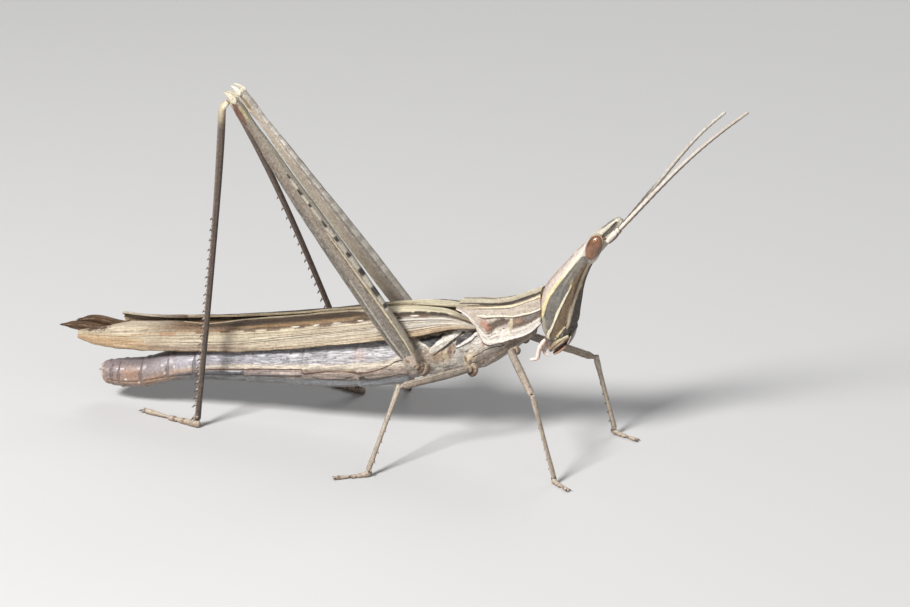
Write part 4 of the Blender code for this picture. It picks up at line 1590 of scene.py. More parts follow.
@dataclass
class Abdomen:
    """The ringed abdomen and the digging valves at its end.

    Attributes:
        ends: where one ring ends and the next begins, front to back.
        stations: x, height of the widest line, rise above it, drop below it, half width.
        seam: the across value of the fold between the back plate and the belly plate.
    """

    ends: tuple[float, ...] = (2.3, -4.6, -12.3, -20.8, -28.4, -32.4, -36.5, -39.9)
    rear: float = -42.3
    stations: Path = (
        (-43.3, 4.3, .8, .9, .8), (-42.3, 4.3, 1.35, 1.7, 1.7), (-40, 4.45, 1.8, 2.2, 2.1),
        (-37, 4.85, 1.9, 2.35, 2.3), (-32, 6.3, 2.3, 2.3, 2.6), (-24, 7.8, 2.95, 2.75, 2.8),
        (-14, 8.8, 3.7, 3.2, 2.9), (-5, 9.95, 4, 3.6, 2.9), (2.5, 11.3, 3.8, 3.5, 2.75),
    )
    seam: float = .7

    def ring(self, x: float, size: float) -> Ring:
        """The abdomen's ring at x, shrunk to a size."""
        level, rise, fall, half = Stations(self.stations).at(x)
        return upright(place(x, 0, level), rise * size, fall * size, half * size, 24, x, (2.15, 2.15))

    def make_ring(self, index: int) -> Piece:
        """One ring: tucked under the one before, hemmed behind, wrinkled lengthwise.

        Args:
            index: 0 for the first behind the trunk.

        Returns:
            The ring.
        """
        front = self.ends[index]
        last = index == len(self.ends) - 1
        rear = self.rear if last else self.ends[index + 1]
        length = front - rear
        stops = [(front + .5, .9), (front + .1, .945), (front - .35, .97), (front - .8, .985)]
        count = max(3, round(length / 1.2))
        for i in range(1, count):
            stops.append((front - .8 - (length - 1.7) * i / count, .985))
        stops += [(rear + .75, .99), (rear + .4, 1.005), (rear + .1, 1), (rear + .04, .97), (rear + .3, .93)]
        if last:
            blunt = ((.25, .98), (0, .94), (-.3, .86), (-.5, .66), (-.58, .35))
            stops[-4:] = [(rear + ahead, size) for ahead, size in blunt]
        ring = skin(f"abdomen_ring_{index + 1}", [self.ring(x, size) for x, size in stops], rim=.3)
        form = Relief(ring)
        x, a, side = form.along, form.across, form.side
        inside = step(x, rear + .1, rear + .9) * step(x, front + .1, front - .5)
        around = columns(x, a * np.sign(side) * 9, 0)
        wrinkles = unrest(around, (5.5, .85, 1), 41 + index, 3)
        deep = unrest(around, (9, 1.9, 1), 61 + index, 2)
        calm = .15 + .85 * step(x, -33, -24)
        height = (.035 * wrinkles + .045 * deep) * inside * calm * step(a, .06, .2)
        height -= .2 * hump(a, self.seam, .035) * inside
        height += .09 * hump(a, self.seam - .07, .05) * inside
        height -= .16 * hump(a, self.seam + .12, .045) * inside * hump(x, rear + length * .35, length * .4)
        height += .05 * hump(x, rear + .45, .2) - .06 * hump(x, rear + 1, .22)
        form.move(height)
        return ring

    def make_valves(self, name: str, level: float) -> Piece:
        """A pair of hooked digging valves side by side.

        Args:
            name: which pair.
            level: height of their root.

        Returns:
            The pair.
        """
        curl = 1 if name == "upper" else -1
        root, reach = -42.2, .72
        halves = []
        for side in Side:
            rings = []
            for t, size in ((-.5, .9), (0, 1), (.35, .95), (.65, .7), (.85, .45), (1, .16)):
                z = level + (4.35 - level) * .35 * t + curl * .32 * max(0, t) ** 2.5
                x = root - reach * t
                middle = place(x, side.value * .46 * (1 - .3 * t), z)
                rings.append(upright(middle, .5 * size, .5 * size, side.value * .48 * size, 14, x))
            halves.append(skin(f"valve_{side.word}", rings))
        return join(f"digging_valves_{name}", halves)

    def make_tail_plates(self) -> Piece:
        """The pointed plate over the last ring and the two short tail feelers beside it.

        Returns:
            The piece.
        """
        parts = []
        rings = []
        for t, half, thick in ((0, .75, .22), (.4, .72, .24), (.8, .45, .2), (1, .12, .1)):
            x = -41.5 - 1.2 * t
            rings.append(upright(place(x, 0, 5.8 - .5 * t), thick, thick, half, 12, x))
        parts.append(skin("roof_plate", rings))
        for side in Side:
            path = [place(-41.9 - .36 * i, side.value * (1.25 - .04 * i), 5.1 - .12 * i) for i in range(4)]
            sizes = [(.22, .22), (.2, .2), (.13, .13), (.05, .05)]
            parts.append(rod(f"tail_feeler_{side.word}", path, side.out, sizes, 10, start=-43))
        return join("tail_plates", parts)


# ---- wings

@dataclass
class Wings:
    """The leathery fore wings and the folded hind wings between them.

    Attributes:
        stations: x, then height and distance out of the lower edge, the shoulder and the inner edge.
        lift: x and how much higher the left wing lies there.
        ends: where each fore wing ends; the left one's tip is torn away.
        packet: the hind wing's x, bottom, top and outer distance.
        fore_places: how many sections a fore wing has.
        packet_places: how many sections a hind wing has.
        fray: x behind which a shorter hind wing is drawn together.
        veins: each raised lengthwise vein as (x, across) points, and its height.
    """

    stations: Path = (
        (-45.9, 9.3, 1.7, 9.9, 1.6, 10.35, 1.3), (-44.4, 9, 1.95, 10.4, 1.8, 10.8, 1.2),
        (-42, 8.7, 2.2, 10.75, 2, 11.3, 1.15), (-38.4, 8.75, 2.4, 11.2, 2.15, 12.2, .3),
        (-32, 9.35, 2.75, 12.3, 2.35, 13, .3), (-26.5, 10, 3, 13.1, 2.45, 13.6, 1.1),
        (-22, 10.5, 3.1, 13.8, 2.5, 14.4, .6), (-14, 11.95, 3.3, 15.2, 2.6, 15.9, .25),
        (-5, 13.8, 3.4, 17.1, 2.7, 17.7, .25), (4, 15.8, 3.4, 19, 2.8, 19.35, .3),
        (8, 17.1, 3.3, 19.35, 2.8, 19.45, .6), (10.6, 17.75, 3.1, 18.95, 2.75, 19, 1.6),
        (12.5, 17.75, 2.85, 18.2, 2.6, 18.3, 1.9),
    )
    wall: float = .28
    lift: Path = ((-40.4, 1.4), (-36, .7), (-33, .5), (-26, .3), (-18, .25), (12.5, 0))
    ends: dict[Side, float] = field(default_factory=lambda: {Side.RIGHT: -45.9, Side.LEFT: -40.4})
    root: float = 12.5
    fore_places: int = 40
    packet_places: int = 30
    fray: float = -35
    packet: Path = (
        (-48.95, 10.35, 10.6, .35), (-47.8, 10.2, 11.2, .6), (-45, 9.9, 11.55, .65), (-41, 9.6, 11, .65),
        (-35, 9.75, 11.75, 1.2), (-26.5, 11.3, 12.9, 1.4), (-14, 12.85, 14.7, 1.5), (-5, 14.35, 16.5, 1.5),
        (3, 15.75, 17.9, 1.5), (9, 17.6, 18.7, 1.3),
    )
    packet_ends: dict[Side, float] = field(default_factory=lambda: {Side.RIGHT: -48.95, Side.LEFT: -46.6})
    veins: tuple[tuple[tuple[tuple[float, float], ...], float], ...] = (
        (((-46, .3), (-20, .3), (10.6, .3)), .07), (((-46, .42), (-20, .4), (2, .42), (10.6, .5)), .06),
        (((-46, .52), (-20, .5), (2, .52), (10.6, .6)), .05),
        (((-46, .66), (-20, .64), (2, .64), (10.6, .7)), .06),
        (((-40, .8), (-20, .77), (2, .76), (10.6, .8)), .05),
        (((-30, .9), (-20, .88), (2, .87), (10.6, .88)), .05), (((-46, .16), (-20, .16), (10.6, .2)), .05),
    )

    def raised(self, x: float, side: Side) -> float:
        """How much higher the wing of one side lies at x."""
        return float(Stations(self.lift).at(x)[0]) if side is Side.LEFT else 0

    def fore_ring(self, x: float, side: Side) -> Ring:
        """The fore wing's section: its outer face from the lower to the inner edge, and back inside.

        Args:
            x: where along the body, mm.
            side: the side it is on.

        Returns:
            The ring.
        """
        low_z, low_y, high_z, high_y, in_z, in_y = Stations(self.stations).at(x)
        mid_y, mid_z = low_y * .62 + high_y * .38 + .12, (low_z + high_z) / 2
        main = [
            (low_y, low_z, 1),
            (mid_y, mid_z, .65),
            (high_y + .04, high_z + .04, .3),
            (high_y * .55 + in_y * .45, high_z * .4 + in_z * .6 + .04, .15),
            (in_y, in_z, 0),
        ]
        outer = []
        for (y_a, z_a, a_a), (y_b, z_b, a_b) in zip(main, main[1:]):
            outer += [(y_a, z_a, a_a), ((y_a + y_b) / 2, (z_a + z_b) / 2, (a_a + a_b) / 2)]
        outer.append(main[-1])
        inner = []
        for y, z, across in outer[::-1]:
            top = min(max((.42 - across) / .3, 0), 1)
            inner.append((max(y - self.wall * (1 - top), .12), z - self.wall * top + .03 * (1 - top), across))
        ring = Ring([], x, [], [])
        up = self.raised(x, side)
        for row, face in ((outer, 1), (inner, -1)):
            for y, z, across in row:
                ring.points.append(place(x, side.value * y, z + up))
                ring.across.append(across)
                ring.side.append(face)
        return ring

    def make_fore(self, side: Side) -> Piece:
        """A fore wing with raised veins, a wavy lower edge and a worn tip.

        Args:
            side: the side it is on.

        Returns:
            The piece.
        """
        tip = self.ends[side]
        places = [tip, tip + .35, tip + .9] if side is Side.RIGHT else [tip, tip + .5]
        places += list(np.linspace(places[-1] + .8, self.root, self.fore_places))
        wing = skin(
            f"fore_wing_{side.word}", [self.fore_ring(x, side) for x in places], rim=.9,
            ridges={0: .9, 8: .7, 9: .7, 17: .9},
        )
        form = Relief(wing)
        x, a = form.along, form.across
        outer = step(form.side, -.2, .6)
        height = np.zeros(len(x))
        for line, rise in self.veins:
            keys, at = zip(*line)
            height += rise * hump(a, np.interp(x, keys, at), .022) * step(x, keys[0], keys[0] + 1)
        height += .035 * unrest(columns(x, a * 5, 0), (6, 1.3, 1), 71)
        form.move(height * outer)
        # the lower edge is wavy, and both it and the tip are frayed
        sway = unrest(columns(x, 0, 0), (3.2, 1, 1), 73 + side.value, 4)
        worn = step(x, -20, -38)
        shift = np.zeros((len(x), 3))
        shift[:, 2] = (.03 + .04 * worn) * sway * step(a, .8, 1)
        notch = unrest(columns(a * 4, 0, 0), (1.1, 1, 1), 79, 4)
        torn = .55 if side is Side.LEFT else .12
        shift[:, 0] = (torn + torn * notch) * step(x, tip + 1.6, tip)
        form.move(shift)
        return crisp(wing, 50)

    def make_hind(self, side: Side) -> Piece:
        """A folded hind wing: a slim packet of lengthwise pleats that frays behind the fore wings.

        Args:
            side: the side it is on.

        Returns:
            The piece.
        """
        end, root = self.packet_ends[side], self.packet[-1][0]
        rings = []
        sizes = Stations(self.packet)
        for x in np.linspace(end, root, self.packet_places):
            drawn_in = max(0, (x - self.fray) / (end - self.fray)) * (end - self.packet[0][0])
            low, high, out = sizes.at(x - drawn_in)
            inner = .1
            middle = place(x, side.value * (inner + out) / 2, (low + high) / 2 + .6 * self.raised(x, side))
            half, tall = max((out - inner) / 2, .2), (high - low) / 2
            rings.append(upright(middle, tall, tall, side.value * half, 20, x, (3, 3)))
        wing = skin(f"hind_wing_{side.word}", rings, rim=.6)
        form = Relief(wing)
        pleats = np.abs(np.sin(form.across * TURN * 3.5 + form.side * 2))
        slim = step(form.along, end + 1, end + 9)
        form.move((.1 * pleats - .06) * (.4 + .6 * slim))
        shift = np.zeros((len(form.along), 3))
        ragged = unrest(columns(form.across * 5, form.side, 0), (1.6, 3, 1), 83, 3)
        shift[:, 0] = (.35 + .45 * ragged) * step(form.along, end + 1.8, end)
        form.move(shift)
        return wing


# ---- legs

@dataclass(frozen=True)
class Stance:
    """Where a leg's joints are: hip, knee, ankle and the end of the foot, mm in the frame."""

    hip: Vector
    knee: Vector
    ankle: Vector
    toe: Vector


def stance(*spots: tuple[float, float, float]) -> Stance:
    """The stance for four spots given from the working point."""
    return Stance(*(place(*spot) for spot in spots))


STANCES: dict[tuple[Pair, Side], Stance] = {
    (Pair.FORE, Side.RIGHT): stance(
        (17.6, -3.35, 15.4), (22.3, -9.4, 11.95), (25.85, -10.45, .7), (28.6, -12.8, .3)
    ),
    (Pair.FORE, Side.LEFT): stance(
        (17.6, 3.35, 15.4), (26.35, 6.5, 11.85), (29.25, 8.3, .7), (33.2, 6.4, .3)
    ),
    (Pair.MID, Side.RIGHT): stance((11.9, -3.85, 12.3), (4.25, -9, 10.9), (1.3, -15.5, .7), (-3, -18, .3)),
    (Pair.MID, Side.LEFT): stance((11.9, 3.85, 12.3), (2.6, 8.8, 11.6), (-2.6, 15.2, .7), (-6.9, 18, .3)),
    (Pair.HIND, Side.RIGHT): stance(
        (4.65, -4.5, 12.1), (-19.6, -8, 48.95), (-26.5, -6.2, .8), (-36.2, -3.2, .3)
    ),
    (Pair.HIND, Side.LEFT): stance((4.4, 4.5, 12), (-24, 6.7, 45.05), (-8.55, 12, .8), (-18.1, 14.9, .3)),
}
SHIN_BOWS: dict[Side, float] = {Side.RIGHT: .3, Side.LEFT: 1.3}


class Hardware:
    """The small parts that repeat on every leg: spine, spur and claw, each made once at size 1."""

    def __init__(self) -> None:
        """Makes the masters."""
        self.spine = self.make_horn("spine_master", .17, .12, 8, 3)
        self.claw = self.make_horn("claw_master", .24, .42, 10, 5)
        for master in (self.spine, self.claw):
            coat(master, SPINE)

    @staticmethod
    def make_horn(name: str, foot: float, bend: float, count: int, cuts: int) -> Piece:
        """A pointed horn that curves towards x as it rises.

        Args:
            name: its name.
            foot: its radius at the foot.
            bend: how far its point leans over.
            count: places round it.
            cuts: rings cut between foot and point.

        Returns:
            The horn, 1 high, standing on its origin.
        """
        clear_selection()
        size = {"radius1": foot, "radius2": foot * .1, "depth": 1, "location": (0, 0, .5)}
        bpy.ops.mesh.primitive_cone_add(vertices=count, **size)
        horn = bpy.context.object
        horn.name = name
        bpy.ops.object.transform_apply(location=True)
        cage, lie = cut_rings(horn, cuts)
        for vert in cage.verts:
            t = vert.co.z
            vert[lie] = (t, .5, 0)
            belly = 1 + .35 * math.sin(math.pi * min(t * 1.1, 1))
            vert.co.x = vert.co.x * belly + bend * t * t
            vert.co.y *= belly
            vert.co.z -= .25 * bend * t**3
        bmesh.update_edit_mesh(horn.data)
        bpy.ops.mesh.select_all(action="SELECT")
        bpy.ops.mesh.normals_make_consistent(inside=False)
        bpy.ops.object.mode_set(mode="OBJECT")
        return refine(horn, 0)


@dataclass
class Leg:
    """A walking leg, from the joint at the trunk to the claws.

    Attributes:
        coxa_root: where its first joint leaves the trunk, on the left.
        coxa_size: the first joint's radius, and how far it ends before the hip.
        thigh: place along (0 to 1), depth above and below the axis, half thickness.
        shin: place along, half thickness, half depth.
        knee: the shin's root and bend as (reach behind the knee, drop below it).
        spines: how many spines are in each row, and where along the shin the rows start.
        spine_size: length and thickness of a spine.
        foot_high: height of the foot at the ankle.
        tip_room: how far the last joint ends before the toe.
        soles: for each joint of the foot, place along, top, bottom and half width.
    """

    pair: Pair
    side: Side
    coxa_root: Vector
    coxa_size: tuple[float, float]
    thigh: Path = (
        (0, .4, .4, .4), (.1, .52, .52, .48), (.4, .58, .58, .5), (.8, .5, .5, .45), (.94, .55, .55, .48),
        (1, .35, .35, .35),
    )
    thigh_places: tuple[float, ...] = (
        0, .03, .08, .15, .25, .37, .5, .62, .74, .84, .9, .95, .985, 1,
    )
    thigh_square: float = 2.3
    shin: Path = (
        (0, .32, .32), (.08, .38, .42), (.2, .31, .34), (.7, .28, .3), (.93, .33, .36), (1, .3, .34),
    )
    knee: Path = ((.62, 0), (.45, .75))
    bow: float = 0
    spines: tuple[int, float] = (5, .3)
    spine_size: tuple[float, float] = (.5, .55)
    foot_high: float = .85
    foot_half: float = .36
    tip_room: float = .6
    soles: tuple[Path, ...] = (
        ((0, .86, .14, .5), (.03, .97, .03, .85), (.08, 1, 0, 1), (.14, .92, 0, 1), (.19, .82, 0, .96),
            (.225, .72, .1, .76), (.26, .7, 0, .9), (.32, .68, 0, .94), (.37, .62, .04, .86),
            (.405, .5, .18, .5)),
        ((.385, .44, .24, .36), (.41, .58, .08, .72), (.46, .63, 0, .94), (.52, .61, 0, .96),
            (.56, .54, .1, .78), (.58, .42, .24, .4)),
        ((.56, .42, .28, .32), (.6, .48, .22, .5), (.7, .52, .14, .56), (.82, .6, .06, .66),
            (.91, .66, 0, .8), (.97, .62, .02, .78), (1, .45, .12, .5)),
    )

    def __post_init__(self) -> None:
        """Works out the leg's directions."""
        self.stance = STANCES[self.pair, self.side]
        hip, knee, ankle = self.stance.hip, self.stance.knee, self.stance.ankle
        self.out = (knee - hip).cross(ankle - knee).normalized()
        if self.out.y * self.side.value < 0:
            self.out = -self.out
        self.tag = f"{self.pair.value}_%s_{self.side.word}"
        self.heading = (knee - hip).normalized()
        self.up = self.heading.cross(self.out)
        if self.up.z < 0:
            self.up = -self.up
        end = ankle + (knee - ankle).normalized() * (self.foot_high - ankle.z + .05)
        self.shin_root, self.bend = self.knee_spots()
        self.shin_end = end
        self.shin_heading = (end - self.bend).normalized()
        self.rear = self.out.cross(self.shin_heading)
        ahead = 1 if self.pair is Pair.HIND else -1
        if self.rear.dot(self.bend - hip) * ahead < 0:
            self.rear = -self.rear

    def knee_spots(self) -> list[Vector]:
        """Where the shin starts beside the thigh's end, and where it turns down.

        Returns:
            The two spots, mm.
        """
        hip, knee, ankle = self.stance.hip, self.stance.knee, self.stance.ankle
        down = (ankle - knee).normalized()
        back = knee - hip - down * (knee - hip).dot(down)
        back.normalize()
        return [knee + back * reach + down * fall for reach, fall in self.knee]

    def make_coxa(self) -> Piece:
        """The stout first joint and the ring that carries the thigh.

        Returns:
            The piece.
        """
        root = mirrored(self.coxa_root, self.side)
        hip = self.stance.hip
        stout, clear = self.coxa_size
        heading = (hip - root).normalized()
        end = hip - heading * clear
        rows = ((-.15, .8), (0, .92), (.12, 1.02), (.35, 1.04), (.6, .98), (.8, .88), (.93, .72), (1.02, .5))
        path = [root.lerp(end, t) for t, _ in rows]
        sizes = [(stout * s, stout * s) for _, s in rows]
        first = rod("coxa_part", path, Vector((1, 0, 0)), sizes, 16)
        form = Relief(first)
        length = form.along.max()
        form.move(.05 * hump(form.along, length * .3, .2) - .05 * hump(form.along, length * .5, .12))
        small = min(stout, .62)
        spots = [end - heading * .35, hip - heading * .15, hip + self.heading * .3, hip + self.heading * .95]
        sizes = [(small * s, small * s) for s in (.62, .8, .78, .6)]
        second = rod("trochanter_part", spots, Vector((1, 0, 0)), sizes, 14)
        return join(self.tag % "coxa_shell", [first, second])

    def thigh_ring(self, share: float, count: int) -> Ring:
        """The thigh's ring at a share of its length.

        Args:
            share: how far along it, 0 to 1.
            count: how many places round it.

        Returns:
            The ring.
        """
        above, below, half = Stations(self.thigh).at(share)
        hip, knee = self.stance.hip, self.stance.knee
        along = (knee - hip).length * share
        square = (self.thigh_square,) * 2
        middle = hip.lerp(knee, share)
        return oval(middle, self.up * above, -self.up * below, self.out * half, count, along, square)

    def make_thigh(self) -> Piece:
        """The thigh, with a low keel above and below and two small lobes at the knee.

        Returns:
            The piece.
        """
        rings = [self.thigh_ring(t, 16) for t in self.thigh_places]
        thigh = skin(self.tag % "thigh", rings, rim=.2, ridges={0: .45, 8: .45})
        form = Relief(thigh)
        length = form.along.max()
        t = form.along / length
        height = .03 * hump(form.across, .27, .05) + .03 * hump(form.across, .73, .05)
        height += .015 * unrest(form.points, (1.1, 1.1, 1.1), 91)
        height -= .05 * hump(t, .9, .02)
        form.move(height)
        return join(self.tag % "thigh", [thigh, *self.make_lobes(.5)])

    def make_lobes(self, size: float) -> list[Piece]:
        """The pointed lobes on each side of the knee.

        Args:
            size: how large they are; 1 on a hind leg.

        Returns:
            The two lobes.
        """
        lobes = []
        knee, length = self.stance.knee, (self.stance.knee - self.stance.hip).length
        for face in (self.out, -self.out):
            rows = ((-.75, 0, .5, .3), (-.3, .02, .62, .62), (.15, 0, .6, .66), (.55, -.08, .5, .52),
                    (.9, -.25, .3, .34), (1.15, -.42, .16, .16), (1.26, -.5, .06, .06))
            rings = []
            for reach, rise, depth, _ in rows:
                middle = knee + (self.heading * reach + self.up * (rise + .1)) * size
                middle = middle + face * (.5 * size + .02) * (1 - .3 * max(0, reach))
                up = self.up * depth * size * .85
                out = face * .17 * size
                rings.append(oval(middle, up, -up, out, 12, length + reach * size))
            lobes.append(skin("knee_lobe", rings))
        return lobes

    def shin_line(self, share: float) -> Vector:
        """The shin's middle line from its bend to the ankle."""
        bow = self.bow * math.sin(math.pi * share**.7)
        return self.bend.lerp(self.shin_end, share) - self.rear * bow

    def make_shin(self, hardware: Hardware) -> Piece:
        """The shin with its two rows of spines and the spurs at the ankle.

        Args:
            hardware: the master spine and claw.

        Returns:
            The piece.
        """
        sizes = Stations(self.shin)
        places = [0, .03, .08, .15, .25, .36, .48, .6, .72, .83, .91, .96, 1]
        path = [self.shin_root, self.shin_root.lerp(self.bend, .25), self.shin_root.lerp(self.bend, .55)]
        path += [self.shin_line(t) for t in places]
        keys = [0, .01, .025] + [.05 + .95 * t for t in places]
        halves = [tuple(sizes.at(key)) for key in keys]
        shin = rod(self.tag % "shin", path, self.out, halves, 12, rim=.3, top=-self.rear)
        parts = [coat(shin, SHIN if self.pair is Pair.HIND else STILT), *self.make_spines(hardware, sizes)]
        return join(self.tag % "shin", parts)

    def make_spines(self, hardware: Hardware, sizes: Stations) -> list[Piece]:
        """The spines and spurs of the shin.

        Args:
            hardware: the master spine and claw.
            sizes: the shin's half thickness and half depth along it.

        Returns:
            The pieces.
        """
        parts = []
        count, first = self.spines
        reach, thick = self.spine_size
        length = (self.shin_end - self.bend).length
        for row in (1, -1):
            shift = .5 if row > 0 else 0
            for i in range(count):
                t = first + (.965 - first) * ((i + shift * .5) / count) ** .9
                half_out, half_deep = sizes.at(.05 + .95 * t)
                heading = (self.shin_line(min(t + .01, 1)) - self.shin_line(t - .01)).normalized()
                face = (self.rear * .86 + self.out * row * .62).normalized()
                foot = self.shin_line(t) + self.rear * half_deep * .62 + self.out * row * half_out * .6
                grown = reach * (.72 + .4 * (i / count)) * (1 + .1 * math.sin(i * 2.3 + row))
                lean = face + heading * .62
                parts.append(copy_of(hardware.spine, aim(foot, lean, heading, (thick, thick, grown))))
        for row in (1, -1):
            for back, size in ((1, 1.5), (-.2, 1.15)):
                foot = self.shin_line(.985) + self.out * row * sizes.at(1)[0] * .6 + self.rear * back * .25
                lean = self.shin_heading + self.rear * (.55 + .3 * back) + self.out * row * .35
                size_ = (thick * 1.15, thick * 1.15, reach * size * min(1, 6 / length + .85))
                parts.append(copy_of(hardware.spine, aim(foot, lean, self.shin_heading, size_)))
        return parts

    def make_foot(self, hardware: Hardware) -> Piece:
        """The three-jointed foot with its pads, two claws and the pad between them.

        Args:
            hardware: the master spine and claw.

        Returns:
            The piece.
        """
        ankle, toe = self.stance.ankle, self.stance.toe
        run = Vector((toe.x - ankle.x, toe.y - ankle.y, 0))
        heading = run.normalized()
        aside = UP.cross(heading)
        heel = Vector((ankle.x, ankle.y, 0)) - heading * self.foot_half
        length = run.length + self.foot_half - self.tip_room
        parts = []
        for rows in self.soles:
            rings = []
            for t, top, low, width in rows:
                middle = heel + heading * length * t + UP * (self.foot_high * (top + low) / 2)
                up = UP * (self.foot_high * (top - low) / 2)
                out = aside * self.foot_half * width
                rings.append(oval(middle, up, -up * .985, out, 16, length * t, (2.2, 3.6)))
            parts.append(coat(skin("foot_joint", rings), FOOT))
        claws = []
        for way in (1, -1):
            foot = heel + heading * (length - .05) + aside * way * self.foot_half * .42
            foot = foot + UP * (self.foot_high * .34)
            lean = heading * .85 + aside * way * .5 + UP * .32
            size, over = self.tip_room * .98, heading * .3 - UP
            claws.append(copy_of(hardware.claw, aim(foot, lean, over, (size * .9, size * .75, size))))
        rings = []
        for t, half in ((-.1, .3), (.1, .55), (.35, .85), (.6, .8), (.78, .5)):
            middle = heel + heading * (length + self.tip_room * .7 * t)
            middle = middle + UP * (self.foot_high * (.3 - .08 * t))
            up = UP * (self.foot_high * .2 * half)
            rings.append(oval(middle, up, -up, aside * self.foot_half * .5 * half, 10, length * 1.05))
        parts.append(coat(skin("foot_pad", rings), FOOT))
        return join(self.tag % "foot", parts + claws)


@dataclass
class JumpingLeg(Leg):
    """A hind leg: deep keeled thigh with fishbone ridges, and a long shin with many spines."""

    thigh: Path = (
        (0, .45, .45, .4), (.03, .9, .9, .65), (.07, 1.35, 1.35, .8), (.16, 1.5, 1.5, .85),
        (.35, 1.5, 1.55, .85), (.55, 1.2, 1.45, .75), (.75, .85, 1.1, .62), (.83, .82, .82, .56),
        (.89, .68, .58, .52), (.935, .66, .98, .6), (.965, .66, .8, .6), (1, .55, .2, .45),
    )
    thigh_places: tuple[float, ...] = (
        0, .012, .03, .055, .09, .14, .2, .27, .35, .43, .51, .59, .67, .74, .79, .83, .862, .89, .915, .94,
        .965, .985, 1,
    )
    thigh_square: float = 2.7
    shin: Path = (
        (0, .35, .35), (.03, .46, .5), (.12, .44, .54), (.5, .38, .42), (.95, .38, .4), (1, .42, .46),
    )
    knee: Path = ((.6, .55), (1.45, 1.45))
    spines: tuple[int, float] = (23, .33)
    spine_size: tuple[float, float] = (.8, .95)
    foot_high: float = 1.15
    foot_half: float = .46
    tip_room: float = .9

    def knee_spots(self) -> list[Vector]:
        """Where the shin starts beside the thigh's end, and where it turns down.

        Returns:
            The two spots, mm.
        """
        hip, knee = self.stance.hip, self.stance.knee
        back = Vector((knee.x - hip.x, knee.y - hip.y, 0)).normalized()
        return [knee + back * reach + Vector((0, 0, -fall)) for reach, fall in self.knee]

    def make_thigh(self) -> Piece:
        """The jumping thigh: sharp keels, ridges along its faces and low fishbone ribs between them.

        Returns:
            The piece.
        """
        rings = [self.thigh_ring(t, 24) for t in self.thigh_places]
        knee_end = self.stance.knee + self.heading * .1 + self.up * .15
        thigh = skin(self.tag % "thigh", rings, (None, knee_end), rim=.2, ridges={0: .7, 12: .7})
        form = Relief(thigh)
        length = form.along.max()
        t, a = form.along / length, form.across
        deep = step(t, .84, .78) * step(t, .02, .07)
        height = .08 * hump(a, 0, .03) * deep + .08 * hump(a, 1, .03) * deep
        for line in (.13, .87):
            height += .085 * hump(a, line, .024) * deep
            height -= .05 * hump(a, line + (.05 if line < .5 else -.05), .03) * deep
        height += .06 * hump(a, .36, .02) * deep * step(form.side, -.1, .4)
        ribs = np.sin(TURN * (form.along / 1.15 + 1.3 * np.abs(a - .5)))
        height += .032 * ribs * step(a, .16, .24) * step(a, .84, .76) * deep * step(np.abs(form.side), .3, .7)
        height += .02 * unrest(form.points, (.8, .8, .8), 93)
        knee = step(t, .885, .91)
        crescent = np.sqrt(((t - .952) / .034) ** 2 + ((a - .45) / .34) ** 2)
        height += knee * (.07 * hump(crescent, 1, .16) - .04 * step(crescent, .95, .6))
        form.move(height)
        return join(self.tag % "thigh", [thigh, *self.make_lobes(1)])


# ---- the finishes of this animal

WHITE: Colour = (.86, .79, .7)
BUTTER: Colour = (.74, .62, .33)
TAN: Colour = (.48, .37, .24)
BROWN: Colour = (.17, .105, .06)
UMBER: Colour = (.075, .045, .026)
SOOT: Colour = (.032, .024, .019)
SLATE: Colour = (.13, .12, .105)


def even(*colours: Colour) -> tuple[tuple[float, Colour], ...]:
    """Colour stops at even distances from the top line to the bottom line."""
    last = max(len(colours) - 1, 1)
    return tuple((i / last, colour) for i, colour in enumerate(colours))


